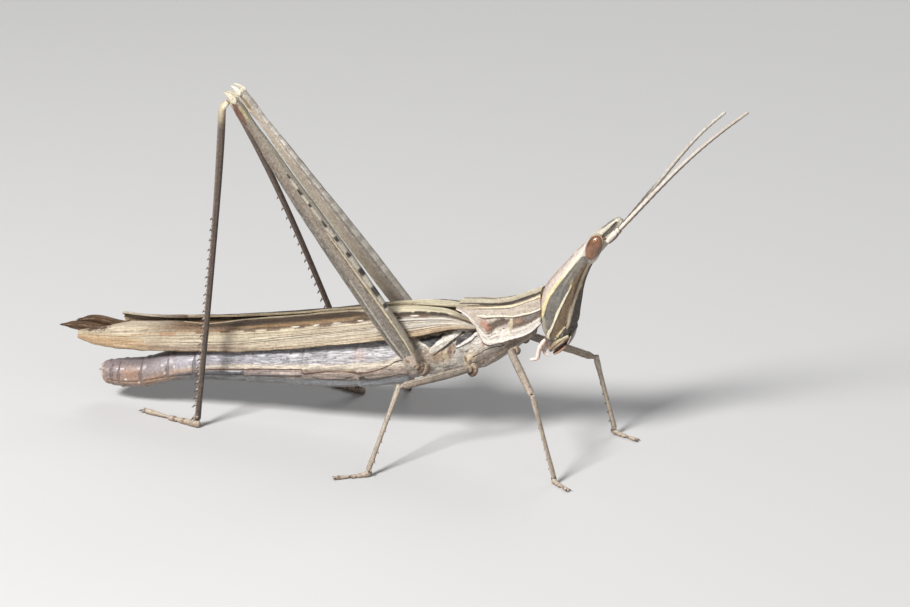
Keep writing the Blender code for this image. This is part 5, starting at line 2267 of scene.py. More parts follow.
CROWN: Colour = (.6, .5, .45)
HEAD = Shell("Head shell", (0, 21), bands=(
    # at the mouth end the bands darken to near-black at the bottom line, the frons: painted shade
    (0, even((.34, .28, .2), CROWN, CROWN, UMBER, SOOT)),
    (9, even((.5, .38, .31), CROWN, CROWN, CROWN, (.5, .42, .36))),
    (15, even(CROWN, (.66, .6, .53), (.62, .56, .48), (.5, .44, .37), (.6, .54, .47))),
    (18.5, even((.4, .38, .31), (.7, .64, .52), (.62, .57, .44), (.55, .5, .4), (.3, .25, .19))),
), marks=(
    Stripe(((0, .06, .08), (1, .07, .09), (2, .15, .15), (3, .21, .21), (4, .27, .24), (5, .37, .2),
        (6, .43, .21), (7, .48, .22), (8, .55, .22), (9, .6, .23), (10, .63, .23), (12, .64, .24),
        (13.4, .62, .2), (14.2, .6, .16)), SLATE, .12, .12),
    Stripe(((.6, .05, .06), (1.5, .1, .08), (3, .1, .09), (4.2, .1, .06)), (.34, .3, .23), .8, .5),
    Stripe(((9.5, .6, .08), (11.5, .64, .11), (13.5, .66, .12)), (.21, .175, .135), .8, .4, .8),
    Stripe(((0, .3, .2), (1, .4, .2), (2, .54, .18), (3, .61, .16), (4, .66, .14), (5, .7, .12),
        (6, .76, .11), (7, .81, .1), (8, .84, .1), (9, .85, .1), (11, .85, .1), (12.4, .85, .08),
        (13.3, .84, .03)), (.135, .08, .035), .25, .12),
    Stripe(((7.5, .89, .02), (9, .9, .035), (11, .88, .04), (12.6, .85, .025)), (.1, .045, .012), .7, .3),
    # the frons, near-black along the bottom line: painted shade of the face that turns from the light
    Stripe(((0, .85, .2), (2, .88, .15), (4, .95, .1), (6, .985, .075), (9, 1, .04), (13, 1, .03)), SOOT, .2,
        .1),
    Stripe(((4.2, .18, .018), (5.5, .215, .02), (6.5, .245, .018), (7.5, .295, .016), (8.5, .36, .014),
        (9.6, .4, .01)), UMBER, .5, .2, .85),
    Stripe(((3.4, .02, .03), (4.5, .1, .045), (5.5, .13, .06), (6.5, .185, .05), (7.5, .235, .048),
        (8.5, .295, .05), (9.5, .33, .055), (11, .34, .055), (12.5, .34, .06), (13.8, .33, .06)), BUTTER, .35,
        .12, lift=.03),
    Stripe(((10.5, .34, .03), (12, .335, .045), (13.6, .32, .05), (14.6, .28, .05)), (.84, .8, .62), .7, .2,
        .85),
    Stripe(((.4, .19, .025), (1, .265, .025), (2, .385, .022), (3, .48, .02), (4, .545, .017),
        (5, .605, .016), (6, .665, .015), (7, .72, .014), (8.4, .785, .01)), SOOT, .5, .15),
    Stripe(((0, .07, .05), (1, .16, .05), (2, .3, .045), (3, .42, .04), (4, .495, .035), (5, .555, .034),
        (6, .615, .032), (7, .672, .028), (8, .725, .02), (8.5, .75, .01)), (.87, .77, .56), .35, .12,
        lift=.03),
    Spot((8.9, .735), (.45, .022), BUTTER, wander=.6),
    Spot((9.35, .775), (.35, .018), (.4, .28, .08), wander=.6),
    Spot((9.8, .71), (.3, .022), (.55, .44, .2), wander=.6),
    Stripe(((1.6, .8, .04), (2.4, .835, .042), (3.4, .85, .042), (4.4, .87, .04), (5.4, .89, .036),
        (6.4, .915, .032), (7.4, .94, .028), (9, .955, .024), (12, .94, .03), (13.2, .9, .04)), TAN, .35, .15,
        lift=.03),
    # pale line along the tan face stripe: painted highlight
    Stripe(((2.6, .84, .014), (4.5, .87, .016), (6.4, .915, .012)), (.7, .6, .42), .9, .4, .8),
    Stripe(((0, .43, .06), (.5, .48, .05), (1, .57, .05), (1.5, .66, .05), (2, .74, .045)), (.7, .58, .32),
        .4, .2),
    Stripe(((0, .53, .025), (.5, .58, .025), (1, .67, .025), (1.8, .78, .02)), SOOT, .5, .2),
    Stripe(((17.6, .5, .06), (18.1, .55, .13), (19, .58, .18), (20, .58, .2), (20.7, .52, .14)),
        (.055, .04, .028), .25, .15),
    Stripe(((18.9, .05, .1), (19.8, .05, .12), (20.5, .05, .08)), (.16, .14, .11), .6, .2, .8),
    Stripe(((4.6, .035, .012), (8, .045, .02), (12.5, .055, .03), (16, .06, .02)), (.3, .23, .19), .9, .6, .6,
        dashes=(2.3, .75)),
    Stripe(((4.4, 0, .006), (9, 0, .009), (16, 0, .014), (18, 0, .02)), (.72, .64, .52), .5, .15, .9,
        lift=.02),
), speckle=((.3, .26, .2), .3, .11), pores=.36, grain=.045)
EYE_RIM = Shell("Eye rim", (-2, 2), bands=((0, even((.4, .32, .24), (.36, .28, .21))),), pores=.3)
LIP = Shell("Lip shell", (0, 4.9), bands=(
    (0, even((.07, .05, .035), (.1, .06, .035), (.1, .05, .025))),
    (2.2, even((.12, .045, .018), (.16, .06, .025), (.1, .04, .02))),
), marks=(
    # near-white patch on the lip's upper part: painted highlight
    Stripe(((.7, .36, .06), (1.4, .38, .1), (2, .4, .08)), (.8, .78, .72), .6, .4, .9),
    Stripe(((1.95, .5, .5), (2.1, .5, .5)), SOOT, .2, .2),
    # whitish-orange line along the lower lip plate: painted highlight
    Stripe(((2.3, .4, .08), (3.4, .4, .1), (4.7, .42, .08)), (.62, .42, .28), .6, .6, .9),
    Stripe(((2.4, .28, .05), (4.7, .28, .06)), (.46, .15, .05), .6, .5, .9),
    Stripe(((4.5, .5, .5), (4.9, .5, .5)), (.28, .1, .04), .3, .3, .7),
), rough=.32, coat=.4, pores=.1)
JAW = Shell("Jaw shell", (0, 4.2), bands=(
    (0, even((.5, .43, .25), (.56, .49, .31), (.16, .09, .05), (.1, .045, .02))),
    (3.2, even((.3, .22, .12), (.3, .2, .12), (.09, .04, .015), (.05, .02, .01))),
), marks=(
    Stripe(((.3, .47, .03), (3.6, .47, .03)), SOOT, .5, .3),
    Stripe(((1, .7, .06), (3.2, .7, .05)), (.66, .5, .36), .8, .6, .85),
), rough=.32, coat=.4, pores=.1)
PALP = Shell("Palp shell", (0, 2), bands=((0, even((.8, .72, .66), (.7, .56, .48), (.4, .24, .18))),),
    mottle=(((.5, .22, .13), .3, .5),), grain=.01, pores=.1, rough=.4, coat=.2)
# a darker copy of the feeler for the far side: the top of its root half is near-black and it darkens towards
# the bottom line, both painted shade
SHADED_FAR_FEELER = Shell("Far feeler shell", (0, 26), bands=(
    (0, even((.14, .1, .08), (.09, .07, .055), (.45, .4, .34), (.3, .24, .19))),
    (5, even((.2, .16, .13), (.1, .08, .065), (.5, .46, .4), (.3, .24, .19))),
    (8.5, even((.5, .46, .4), (.48, .44, .38), (.42, .38, .32), (.2, .16, .13))),
), mottle=(((.3, .26, .22), .3, .9),), pores=.15, grain=.015)
# darker towards the bottom line, with the umber stripe at .8: painted shade on the feeler's underside
FEELER = Shell("Feeler shell", (0, 26), bands=(
    (0, even((.74, .66, .56), (.66, .6, .53), (.45, .38, .32), (.16, .12, .09))),
    (9, even((.66, .6, .53), (.6, .54, .48), (.42, .36, .3), (.14, .11, .085))),
    (24, even((.5, .44, .38), (.42, .36, .3), (.2, .16, .12))),
), marks=(Stripe(((.2, .8, .08), (8, .78, .1), (24, .8, .14)), UMBER, .6, .4, .8),), mottle=(((.36, .3, .25),
    .3, .9),), pores=.15, grain=.015)
SADDLE = Shell("Saddle shell", (9.6, 21.45), bands=(
    (9.6, ((0, (.55, .5, .36)), (.085, (.53, .47, .34)), (.2, (.42, .34, .24)), (.3, (.52, .44, .36)), (.45,
        (.52, .43, .35)), (.7, (.7, .62, .53)), (.85, WHITE), (1, (.74, .66, .58)))),
    (16.6, ((0, (.57, .52, .38)), (.085, (.53, .47, .34)), (.2, (.42, .34, .24)), (.3, (.52, .44, .36)), (.48,
        (.5, .42, .34)), (.74, (.3, .22, .17)), (.78, WHITE), (1, (.86, .8, .72)))),
), marks=(
    Stripe(((14, .62, .05), (14.6, .6, .1), (15.7, .54, .1), (16.6, .53, .08), (17.4, .54, .05)),
        (.1, .065, .045), .4, .6),
    Stripe(((15, .74, .05), (16.2, .78, .14), (17.2, .8, .16)), WHITE, .6, .4, .9),
    Stripe(((17.6, .6, .1), (18.2, .62, .12), (19.2, .64, .115), (20.2, .66, .1), (21.2, .68, .08)),
        (.14, .1, .075), .3, .35),
    Spot((18.3, .6), (.75, .06), (.36, .22, .13), .9, .8, .8),
    Spot((19.9, .62), (.5, .05), (.2, .19, .19), .8, .6, .7),
    Stripe(((17.35, .62, .2), (17.6, .62, .22)), (.62, .53, .36), .4, .1, .85),
    Stripe(((9.8, .09, .01), (12.3, .1, .014), (13, .112, .03), (15.2, .125, .036), (16, .142, .05),
        (18, .16, .058), (19.4, .168, .058), (20.5, .155, .045), (21.3, .14, .03)), SOOT, .25, .12),
    Stripe(((11, .15, .014), (13.5, .165, .016), (15.4, .175, .01)), (.2, .14, .09), .6, .3),
    Stripe(((10.6, .25, .012), (12, .232, .016), (13, .207, .018), (14, .202, .018), (16, .217, .02),
        (17, .227, .02), (18, .25, .02), (19, .264, .018), (20, .256, .018), (21.2, .23, .018)),
        (.75, .63, .4), .35, .12, lift=.03),
    Stripe(((11.5, .29, .007), (13, .245, .009), (14, .232, .009), (16, .25, .009), (18, .28, .008),
        (20.8, .27, .006)), SOOT, .6, .2, .85),
    Stripe(((12.6, .44, .01), (13.5, .375, .016), (14.5, .37, .016), (15.5, .38, .016), (16.5, .4, .016),
        (17.3, .44, .016), (18, .47, .018), (19, .49, .018), (20, .52, .02), (21.2, .545, .02)),
        (.84, .76, .6), .4, .15, lift=.03),
    Stripe(((13, .44, .008), (14.5, .402, .01), (16.5, .432, .01), (18, .503, .012), (20, .555, .012),
        (21.2, .58, .012)), SOOT, .6, .2),
    Spot((16.5, .67), (.22, .018), BROWN, wander=.8),
    Spot((16.1, .7), (.15, .015), BROWN, wander=.8),
    Stripe(((14.1, .74, .008), (15.1, .68, .01)), BROWN, .6, .3, .9),
    Stripe(((14.3, .81, .008), (15.4, .75, .01)), BROWN, .6, .3, .9),
    Stripe(((14.6, .88, .008), (15.7, .82, .01)), BROWN, .6, .3, .8),
    Spot((13.8, .56), (.45, .07), (.46, .19, .12), .9, .8, .7),
    Spot((14.3, .63), (.3, .04), (.46, .19, .12), .9, .8, .6),
    Stripe(((21.05, .3, .08), (21.4, .3, .1)), (.5, .22, .13), .6, .5, .8),
    Stripe(((21.15, .6, .2), (21.4, .6, .22)), (.5, .38, .32), .6, .5, .7),
    Stripe(((10, 1, .03), (15, 1, .022), (21.3, 1, .022)), UMBER, .5, .3),
), mottle=(((.38, .3, .24), .2, .9),), pores=.4, grain=.03, speckle=((.2, .15, .12), .2, .13), folds=Folds(3,
    .07, .03, (.3, .22, .17), .4))
TRUNK = Shell("Trunk shell", (2.4, 20.1), bands=(
    # from x 2.4 to 10 the bands darken to the bottom line: painted shade on the underside
    (2.4, even((.7, .56, .4), (.5, .46, .38), (.66, .58, .48), (.3, .24, .19), (.1, .07, .055))),
    (7.5, even((.72, .6, .46), (.5, .4, .31), (.42, .31, .23), (.5, .46, .39), (.2, .15, .12))),
    (10, even((.74, .68, .56), (.6, .57, .5), (.6, .57, .51), (.56, .51, .43), (.2, .15, .12))),
    (12.2, even((.7, .64, .54), (.72, .67, .6), (.74, .67, .58), (.22, .17, .13), (.24, .18, .14))),
), marks=(
    Stripe(((6.6, .5, .1), (7.2, .5, .14), (8.2, .48, .15), (9, .44, .17), (9.7, .4, .1)), (.36, .25, .17),
        .5, .5, .8),
    Stripe(((8.05, .5, .1), (8.5, .5, .12)), (.62, .52, .34), .9, .5, .7),
    Stripe(((8.75, .46, .12), (9.05, .46, .14)), (.16, .1, .06), .9, .5, .7),
    Stripe(((4.5, .13, .03), (5.3, .155, .07), (6, .17, .1), (6.4, .17, .1), (7, .135, .07),
        (7.9, .095, .025)), (.045, .045, .05), .2, .2),
    Stripe(((4.2, .25, .04), (5.4, .27, .05)), (.38, .38, .31), .7, .4, .8),
    Stripe(((3.3, .13, .03), (4.2, .15, .035), (5, .21, .02), (5.7, .27, .02), (5.95, .33, .02)),
        (.78, .7, .6), .4, .3),
    Stripe(((6, .37, .05), (6.5, .33, .08), (7, .285, .1), (8, .21, .11), (9, .15, .08), (10, .1, .045),
        (10.7, .07, .02)), (.7, .64, .55), .25, .2, lift=.06),
    Stripe(((6.4, .36, .02), (7.2, .29, .025), (8.4, .22, .02)), (.42, .38, .33), .9, .9, .8),
    Stripe(((7, .24, .02), (8.6, .13, .02), (9.8, .09, .015)), (.9, .84, .75), .6, .8, .9),
    Stripe(((6.6, .46, .012), (7.5, .39, .018), (8.2, .335, .03), (8.8, .275, .034), (9.4, .22, .034),
        (10, .17, .03), (10.7, .11, .02)), SOOT, .45, .25),
    Stripe(((9.85, .27, .06), (10.3, .25, .075), (11, .2, .07), (12, .16, .05), (12.5, .13, .03)),
        (.04, .032, .034), .25, .25),
    Stripe(((11.2, .145, .02), (12.4, .115, .02)), (.24, .21, .18), .9, .4, .8),
    Stripe(((10, .35, .02), (11, .305, .032), (12, .25, .034), (12.6, .2, .025)), (.8, .74, .66), .3, .3),
    Stripe(((9.9, .39, .012), (11, .35, .018), (12, .31, .02), (12.5, .26, .016)), (.08, .07, .065), .6, .3),
    Spot((9.6, .475), (.14, .04), (.12, .09, .07), wander=.6),
    Spot((11.25, .52), (.22, .018), (.1, .08, .06), wander=.6),
    Stripe(((10.9, .68, .1), (11.8, .66, .1), (12.6, .64, .03)), (.78, .62, .44), .8, .5, .8),
    Stripe(((11, .63, .05), (11.12, .68, .06)), BROWN, .7, .5, .8),
    Stripe(((11.6, .8, .06), (11.75, .8, .07)), BROWN, .7, .5, .8),
    Stripe(((12.1, .665, .01), (13, .64, .012), (14, .6, .014), (15, .62, .014), (16.2, .68, .014)), SOOT, .6,
        .3),
    # dark patch low under the middle ring: painted shade under the breast
    Stripe(((8, .93, .09), (10, .93, .1), (11.2, .95, .07)), (.06, .04, .04), .4, .4),
    Stripe(((13, .92, .02), (14.8, .87, .025)), (.45, .37, .3), .7, .5, .8),
    Stripe(((13.2, .3, .2), (13.6, .3, .2)), (.62, .36, .28), .8, .5, .7),
), folds=Folds(1.5, .045, .07, (.2, .15, .115), .4), lively=.65, mottle=(((.84, .78, .7), .25, 1.3),
    ((.2, .15, .12), .3, .9)), pores=.25, grain=.03, rough=.42, coat=.15)
COXA = Shell("Hip shell", (0, 5), bands=(
    (0, even((.46, .36, .26), (.26, .18, .12), (.15, .085, .055), (.08, .04, .025))),
    (1.6, even((.5, .4, .3), (.34, .25, .18), (.22, .14, .09), (.1, .055, .035))),
), marks=(
    Stripe(((.8, .5, .5), (.95, .5, .5)), (.62, .5, .36), .4, .6, .7),
    Stripe(((1.15, .5, .5), (1.3, .5, .5)), UMBER, .4, .6, .8),
), folds=Folds(1.8, .11, .05, (.09, .05, .03), .75), mottle=(((.6, .5, .36), .3, .6),), pores=.2, rough=.4,
    coat=.2)
NECK = Shell("Neck skin", (19.9, 21.5), bands=((19.9, even((.5, .3, .2), (.42, .24, .17), (.25, .14, .1))),),
    folds=Folds(.5, .4, .06, (.2, .1, .07), .5), pores=.1)
BELLY = Shell("Belly shell", (-43.4, 2.9), bands=(
    # below the fold the bands turn dark grey and darken to the bottom line: painted shade on the belly's
    # underside, the darkest lines at its creases
    (-43, even((.25, .19, .19), (.27, .2, .19), (.25, .18, .165), (.36, .23, .16), (.12, .085, .07))),
    (-36, even((.21, .17, .17), (.28, .23, .23), (.27, .21, .195), (.34, .22, .15), (.1, .07, .055))),
    (-28, ((0, (.36, .34, .37)), (.4, (.4, .37, .39)), (.5, (.5, .38, .3)), (.6, (.12, .11, .11)), (.8,
        (.15, .15, .15)), (1, (.08, .07, .06)))),
    (-19.5, ((0, (.44, .43, .46)), (.38, (.5, .48, .5)), (.43, (.74, .64, .53)), (.5, (.7, .58, .45)), (.54,
        (.42, .34, .3)), (.64, (.36, .28, .24)), (.7, (.1, .08, .07)), (.76, (.22, .23, .22)), (.84,
        (.26, .27, .27)), (.88, (.08, .07, .06)), (.93, (.2, .18, .165)))),
    (-6, ((0, (.48, .47, .48)), (.38, (.56, .53, .53)), (.43, (.76, .67, .56)), (.5, (.7, .58, .45)), (.55,
        (.45, .35, .28)), (.7, (.5, .38, .3)), (.75, (.1, .08, .07)), (.79, (.26, .27, .28)), (.88,
        (.3, .31, .32)), (.92, (.1, .08, .07)), (.96, (.2, .18, .165)))),
), marks=(
    Stripe(((-27.5, .46, .03), (-20, .455, .035), (-5, .455, .035), (-2, .46, .04), (.5, .4, .04),
        (2.5, .33, .03)), (.76, .66, .53), .6, .2, .85),
    Stripe(((-28, .545, .014), (-20.6, .53, .014), (-19.4, .52, .02), (-17, .508, .014), (-12.6, .5, .012),
        (-11.8, .6, .02), (-10, .575, .014), (-7.5, .545, .012), (-5.6, .56, .014), (-4, .6, .02),
        (-2.6, .59, .014), (-1.5, .565, .013), (0, .5, .013), (2.4, .4, .012)), (.11, .05, .028), .5, .2),
    Stripe(((-12.5, .53, .02), (-9, .525, .02), (-5, .54, .02)), (.36, .24, .16), .8, .3, .7),
    Stripe(((-16.6, .59, .02), (-14.5, .59, .035), (-12.7, .6, .03)), (.62, .5, .43), .6, .4, .85),
    Stripe(((-17.5, .67, .02), (-14, .66, .016), (-12.6, .665, .03)), SOOT, .5, .3, .9),
    Stripe(((-10.8, .7, .01), (-9.5, .735, .014), (-6.5, .74, .014), (-5.4, .7, .014)), SOOT, .5, .3, .9),
    Stripe(((-3.9, .72, .04), (-2.6, .78, .025), (0, .74, .013), (2.4, .71, .012)), SOOT, .5, .3, .9),
    Stripe(((-3.6, .65, .03), (-2, .67, .04)), (.3, .22, .17), .8, .5, .7),
    # blue-grey band below the fold: painted shade on the belly plates
    Stripe(((-26, .64, .06), (-24, .64, .07), (-21, .62, .05)), (.12, .13, .14), .4, .4, .9),
    Spot((-22.3, .585), (1.1, .02), (.72, .7, .66), wander=.6, strength=.8),
    Spot((-38, .42), (1.6, .2), (.34, .19, .115), .9, .5, .75),
    Spot((-34, .72), (2.2, .12), (.4, .24, .15), .9, .5, .75),
    Spot((-30.2, .54), (2, .06), (.45, .31, .23), .9, .5, .8),
    *(Spot(at, (.16, .035), (.72, .66, .6), .7, .4, .85) for at in ((-33, .28), (-32.6, .56), (-28.9, .43),
        (-36.7, .76), (-31.2, .37), (-38.6, .6))),
    Spot((-4, .27), (.7, .1), (.66, .5, .44), .9, .5, .75),
    Stripe(((-43.4, .5, .5), (-42.5, .5, .5)), (.62, .52, .36), .3, .4, .7),
    Stripe(((-40.9, .45, .4), (-40.75, .45, .4)), (.1, .07, .06), .6, .6, .7),
    *(Stripe(((x, .45, .42), (x + .12, .45, .42)), (.1, .075, .07), .5, .6,
        .65) for x in (-39.75, -36.35, -32.25, -28.25)),
), folds=Folds(2.4, .026, .07, (.1, .09, .1), .5, (-31, -23)), pores=.12, grain=.01, rough=.33, coat=.35)
FORE_WING = Shell("Fore wing", (-46, 10.8), bands=(
    (-46, even((.52, .42, .3), (.6, .5, .36), (.62, .46, .28), (.58, .41, .24), (.3, .18, .09))),
    (-38, even((.62, .54, .42), (.6, .5, .36), (.66, .56, .4), (.6, .46, .3), (.3, .18, .09))),
    # from x -29 to 3 the upper field is painted near-black: painted shadow cast by the mate riding on her
    # back
    (-29, even((.1, .055, .03), (.2, .12, .07), (.62, .54, .39), (.62, .53, .4), (.42, .32, .22))),
    (-20, ((0, (.03, .018, .01)), (.22, (.035, .02, .011)), (.34, (.13, .075, .035)), (.4, (.62, .53, .37)),
        (.7, (.68, .6, .45)), (1, (.5, .4, .28)))),
    (-4, ((0, (.06, .038, .024)), (.2, (.08, .05, .028)), (.36, (.12, .07, .04)), (.42, (.64, .56, .42)), (.7,
        (.7, .62, .48)), (1, (.6, .48, .34)))),
    (3, ((0, (.74, .65, .45)), (.2, (.74, .64, .45)), (.27, (.1, .07, .05)), (.38, (.12, .09, .065)), (.44,
        (.66, .6, .5)), (.7, (.74, .66, .55)), (.85, (.66, .5, .33)), (1, (.5, .38, .25)))),
), marks=(
    Stripe(((-15, .25, 0), (-8.5, .25, .03), (-1.8, .25, 0)), (.38, .25, .14), .9, .9, .6),
    Stripe(((-30, .02, .03), (-10, .02, .035), (3, .02, .03)), (.5, .4, .26), .5, .4, .9),
    Stripe(((-30, .12, .02), (-10, .12, .03), (-1, .12, .02)), (.16, .1, .055), .6, .4, .8, dashes=(.8, .5)),
    Stripe(((-24, .27, 0), (-15, .27, .05), (-5, .28, .02)), (.34, .21, .1), .9, .8, .75),
    Stripe(((-6.5, .05, 0), (-2, .08, .05), (2, .13, .08), (9, .13, .08)), (.8, .71, .5), .5, .4),
    Stripe(((-7, .12, .006), (1, .13, .01), (9, .12, .01)), (.45, .35, .22), .6, .5, .7),
    # near-black stripe over the upper field: deepens the painted shadow of the mate
    Stripe(((-33, .16, 0), (-24, .15, .07), (-15, .14, .09), (-6, .14, .08), (-2, .15, 0)),
        (.035, .022, .014), .6, .5, .72),
    Stripe(((-3, .24, .02), (1.5, .27, .04), (8.5, .27, .05)), (.055, .04, .03), .4, .2, dashes=(1.9, .7)),
    Stripe(((-29, .38, .04), (-16, .37, .05), (7, .36, .05)), (.13, .075, .04), .5, .5, .9, dashes=(3.6, .5)),
    Stripe(((-14, .355, .02), (-2, .35, .02), (5, .35, .02)), (.8, .74, .62), .5, .3, .9, dashes=(2.9, .3)),
    Stripe(((-33, .42, .03), (-31, .43, .04)), (.4, .2, .11), .8, .5, .8),
    Stripe(((-44, .46, .008), (-30, .47, .01), (-20, .475, .012), (2, .48, .012), (9, .5, .01)),
        (.26, .16, .09), .5, .3, .8),
    Stripe(((-40, .56, .006), (-26, .57, .008), (-10, .56, .009), (3, .55, .009), (9, .57, .008)),
        (.3, .2, .12), .5, .3, .7),
    Stripe(((-30, .7, .007), (-19, .67, .009), (-15, .62, .01), (-10, .6, .01), (-1.5, .58, .01)),
        (.13, .08, .05), .5, .3, .9),
    Stripe(((-28, .77, .007), (-22, .75, .009), (-19, .72, .01), (-10, .65, .009), (-2, .62, .009)),
        (.13, .08, .05), .5, .3, .85),
    Stripe(((-34, .81, .008), (-26, .78, .008), (-19, .765, .008), (-8, .74, .008), (3, .76, .008)),
        (.3, .2, .13), .5, .3, .8),
    Stripe(((-19, .93, .009), (-10, .9, .01), (-5, .86, .01), (8, .84, .01)), (.22, .13, .08), .5, .3, .85),
    Stripe(((1, .66, .012), (8.5, .6, .008)), (.4, .42, .42), .6, .3, .8),
    Stripe(((-1, .455, .02), (9, .47, .02)), (.86, .8, .72), .5, .3),
    Stripe(((-1, .5, .012), (9.5, .51, .012)), (.09, .08, .09), .5, .3, .9),
    Stripe(((-1, .74, .012), (9, .7, .012)), (.12, .08, .06), .5, .4, .85),
    Stripe(((-1, .83, .014), (9, .77, .014)), (.16, .09, .05), .5, .4, .8),
    Stripe(((-35, .87, .03), (-28, .87, .05), (-20, .87, .03)), (.3, .2, .15), .8, .5, .7),
    Stripe(((-45.5, .7, .2), (-40, .66, .18), (-36, .66, .1)), (.62, .42, .24), .8, .4, .6),
    Stripe(((-45, .62, .012), (-40, .64, .012), (-36, .66, .012)), (.4, .19, .07), .6, .3, .8),
    Stripe(((-45, .76, .012), (-40, .77, .014), (-35, .78, .01)), (.42, .2, .08), .6, .3, .8),
    Stripe(((-43, .3, .03), (-36, .28, .02), (-29, .3, .012)), (.34, .26, .2), .6, .6, .7, dashes=(2.3, .6)),
    Spot((-43, .1), (1.4, .12), (.1, .055, .03), .6, .7),
    Stripe(((-40.5, .5, .006), (-37, .42, .014), (-33, .36, .01), (-28, .35, .014), (-22, .34, .004)),
        (.46, .2, .08), .8, .7, .8),
    Stripe(((-40, 1, .03), (-30, 1, .035), (-10, 1, .02), (9, 1, .02)), (.12, .07, .035), .6, .5),
), folds=Folds(11, .022, .05, (.28, .19, .11), .34), mottle=(((.4, .28, .16), .12, 2.6),), pores=.1,
    grain=.012, rough=.5, coat=.08)
HIND_WING = Shell("Hind wing", (-49, 9), bands=((-49, even((.1, .05, .02), (.15, .08, .036),
    (.09, .045, .018), (.07, .035, .015))),), marks=(
    Stripe(((-48, .35, .03), (-40, .3, .04)), (.4, .3, .2), .7, .8, .8, dashes=(3.1, .6)),
    Stripe(((-49, .62, .03), (-38, .6, .05)), (.035, .02, .01), .6, .8),
    Stripe(((-48.5, .8, .03), (-38, .82, .04)), (.3, .17, .08), .7, .8, .7, dashes=(4.3, .6)),
), folds=Folds(9, .04, .1, (.3, .18, .1), .22), rough=.5, pores=.05, lively=.7)
WALKING = Shell("Walking thigh", (0, 16), bands=(
    (0, even((.34, .28, .22), (.25, .21, .175), (.2, .165, .13), (.1, .08, .06))),
    (9, even((.42, .34, .27), (.34, .275, .21), (.26, .2, .15), (.12, .09, .065))),
), marks=(
    Stripe(((.5, .2, .03), (13, .2, .03)), (.5, .44, .36), .6, .4, .8),
    Stripe(((.5, .32, .03), (13, .32, .04)), (.1, .08, .06), .6, .6, .8, dashes=(1.7, .65)),
), mottle=(((.1, .08, .06), .35, .9), ((.5, .44, .36), .2, .7)), pores=.3, grain=.03,
    speckle=((.06, .045, .035), .25, .13))
STILT = Shell("Walking shin", (0, 14), bands=(
    (0, even((.36, .3, .23), (.5, .43, .34), (.46, .38, .3), (.2, .15, .11))),
    (7, even((.3, .24, .18), (.46, .39, .31), (.4, .33, .25), (.18, .13, .1))),
), marks=(Stripe(((.5, .32, .04), (12, .32, .04)), (.14, .1, .07), .6, .6, .8, dashes=(2.1, .6)),),
    mottle=(((.13, .09, .065), .3, .8),), pores=.3, grain=.03, speckle=((.08, .055, .04), .25, .13))
THIGH = Shell("Jumping thigh", (0, 45), bands=(
    (0, ((0, (.3, .25, .19)), (.1, (.3, .25, .19)), (.2, (.16, .13, .09)), (.35, (.115, .1, .085)), (.6,
        (.15, .135, .115)), (.8, (.12, .105, .085)), (.9, (.28, .24, .19)), (1, (.13, .11, .09)))),
    (20, ((0, (.26, .22, .18)), (.15, (.24, .2, .15)), (.3, (.2, .155, .115)), (.55, (.235, .185, .14)), (.7,
        (.13, .11, .088)), (.88, (.15, .13, .105)), (1, (.11, .095, .075)))),
    (39, even((.3, .26, .2), (.24, .2, .15), (.18, .13, .09), (.15, .12, .09))),
), marks=(
    Stripe(((2, .15, .035), (8, .16, .035), (13, .2, .03), (17, .24, .026), (22, .26, .015)), (.56, .47, .31),
        .5, .25, .9),
    Stripe(((4, .23, .02), (12, .27, .02), (20, .31, .015)), (.1, .075, .05), .6, .4, .75),
    Stripe(((1.5, .7, .03), (8, .69, .03), (15, .68, .02)), (.48, .44, .38), .7, .4, .8),
    Stripe(((2, .82, .025), (17, .83, .02)), (.11, .075, .045), .6, .4, .8),
    Stripe(((9, .04, .05), (16, .06, .06), (20, .09, .06), (25, .15, .07), (32, .2, .07)), (.58, .53, .43),
        .6, .3, .75),
    Stripe(((9, .03, .05), (16, .05, .06), (20, .08, .06), (25, .15, .07), (32, .2, .08)), (.032, .026, .02),
        .25, .3, dashes=(2.75, .36)),
    Stripe(((18, .86, .03), (34, .86, .03)), (.07, .06, .05), .7, .5, .75, dashes=(3.1, .28)),
    Stripe(((40.6, .25, .1), (41.8, .22, .16), (42.8, .22, .12)), (.38, .32, .16), .6, .3, .9),
    Stripe(((40.2, .7, .1), (41.4, .68, .22), (43.2, .66, .28), (43.6, .66, .2)), (.13, .05, .025), .4, .3),
    Stripe(((43.7, .4, .5), (45, .4, .5)), (.72, .64, .48), .3, .3, .9),
    Stripe(((0, .5, .5), (1.7, .5, .5)), (.6, .48, .38), .3, .3, .85),
    Stripe(((1.1, .72, .14), (1.4, .7, .16)), (.24, .12, .04), .6, .4, .8),
), folds=Folds(2.4, .1, 0, (.42, .38, .33), .3), mottle=(((.3, .27, .22), .3, 1.4),),
    speckle=((.05, .04, .03), .3, .15), pores=.4, grain=.04)
FAR_THIGH = Shell("Far jumping thigh", (0, 45), bands=((0, even((.4, .36, .31), (.4, .33, .27),
    (.4, .32, .24), (.42, .37, .27), (.36, .31, .23))),), marks=(
    Stripe(((12, .02, .05), (40, .02, .05)), (.62, .58, .51), .6, .5, .8, dashes=(2.2, .6)),
    Stripe(((12, .17, .05), (36, .17, .05)), (.6, .52, .42), .7, .5, .7, dashes=(1.6, .35)),
    Stripe(((4, .08, .03), (40, .09, .02)), (.2, .17, .14), .7, .5, .7),
    Stripe(((40.6, .42, .1), (42, .42, .22), (42.9, .42, .16)), (.2, .14, .06), .5, .3, .9),
    Stripe(((43.4, .4, .5), (45, .4, .5)), (.8, .74, .6), .3, .3, .9),
), folds=Folds(2.4, .1, 0, (.52, .46, .38), .3), mottle=(((.3, .25, .2), .3, 1.4),), speckle=((.1, .08, .06),
    .25, .15), pores=.35, grain=.035)
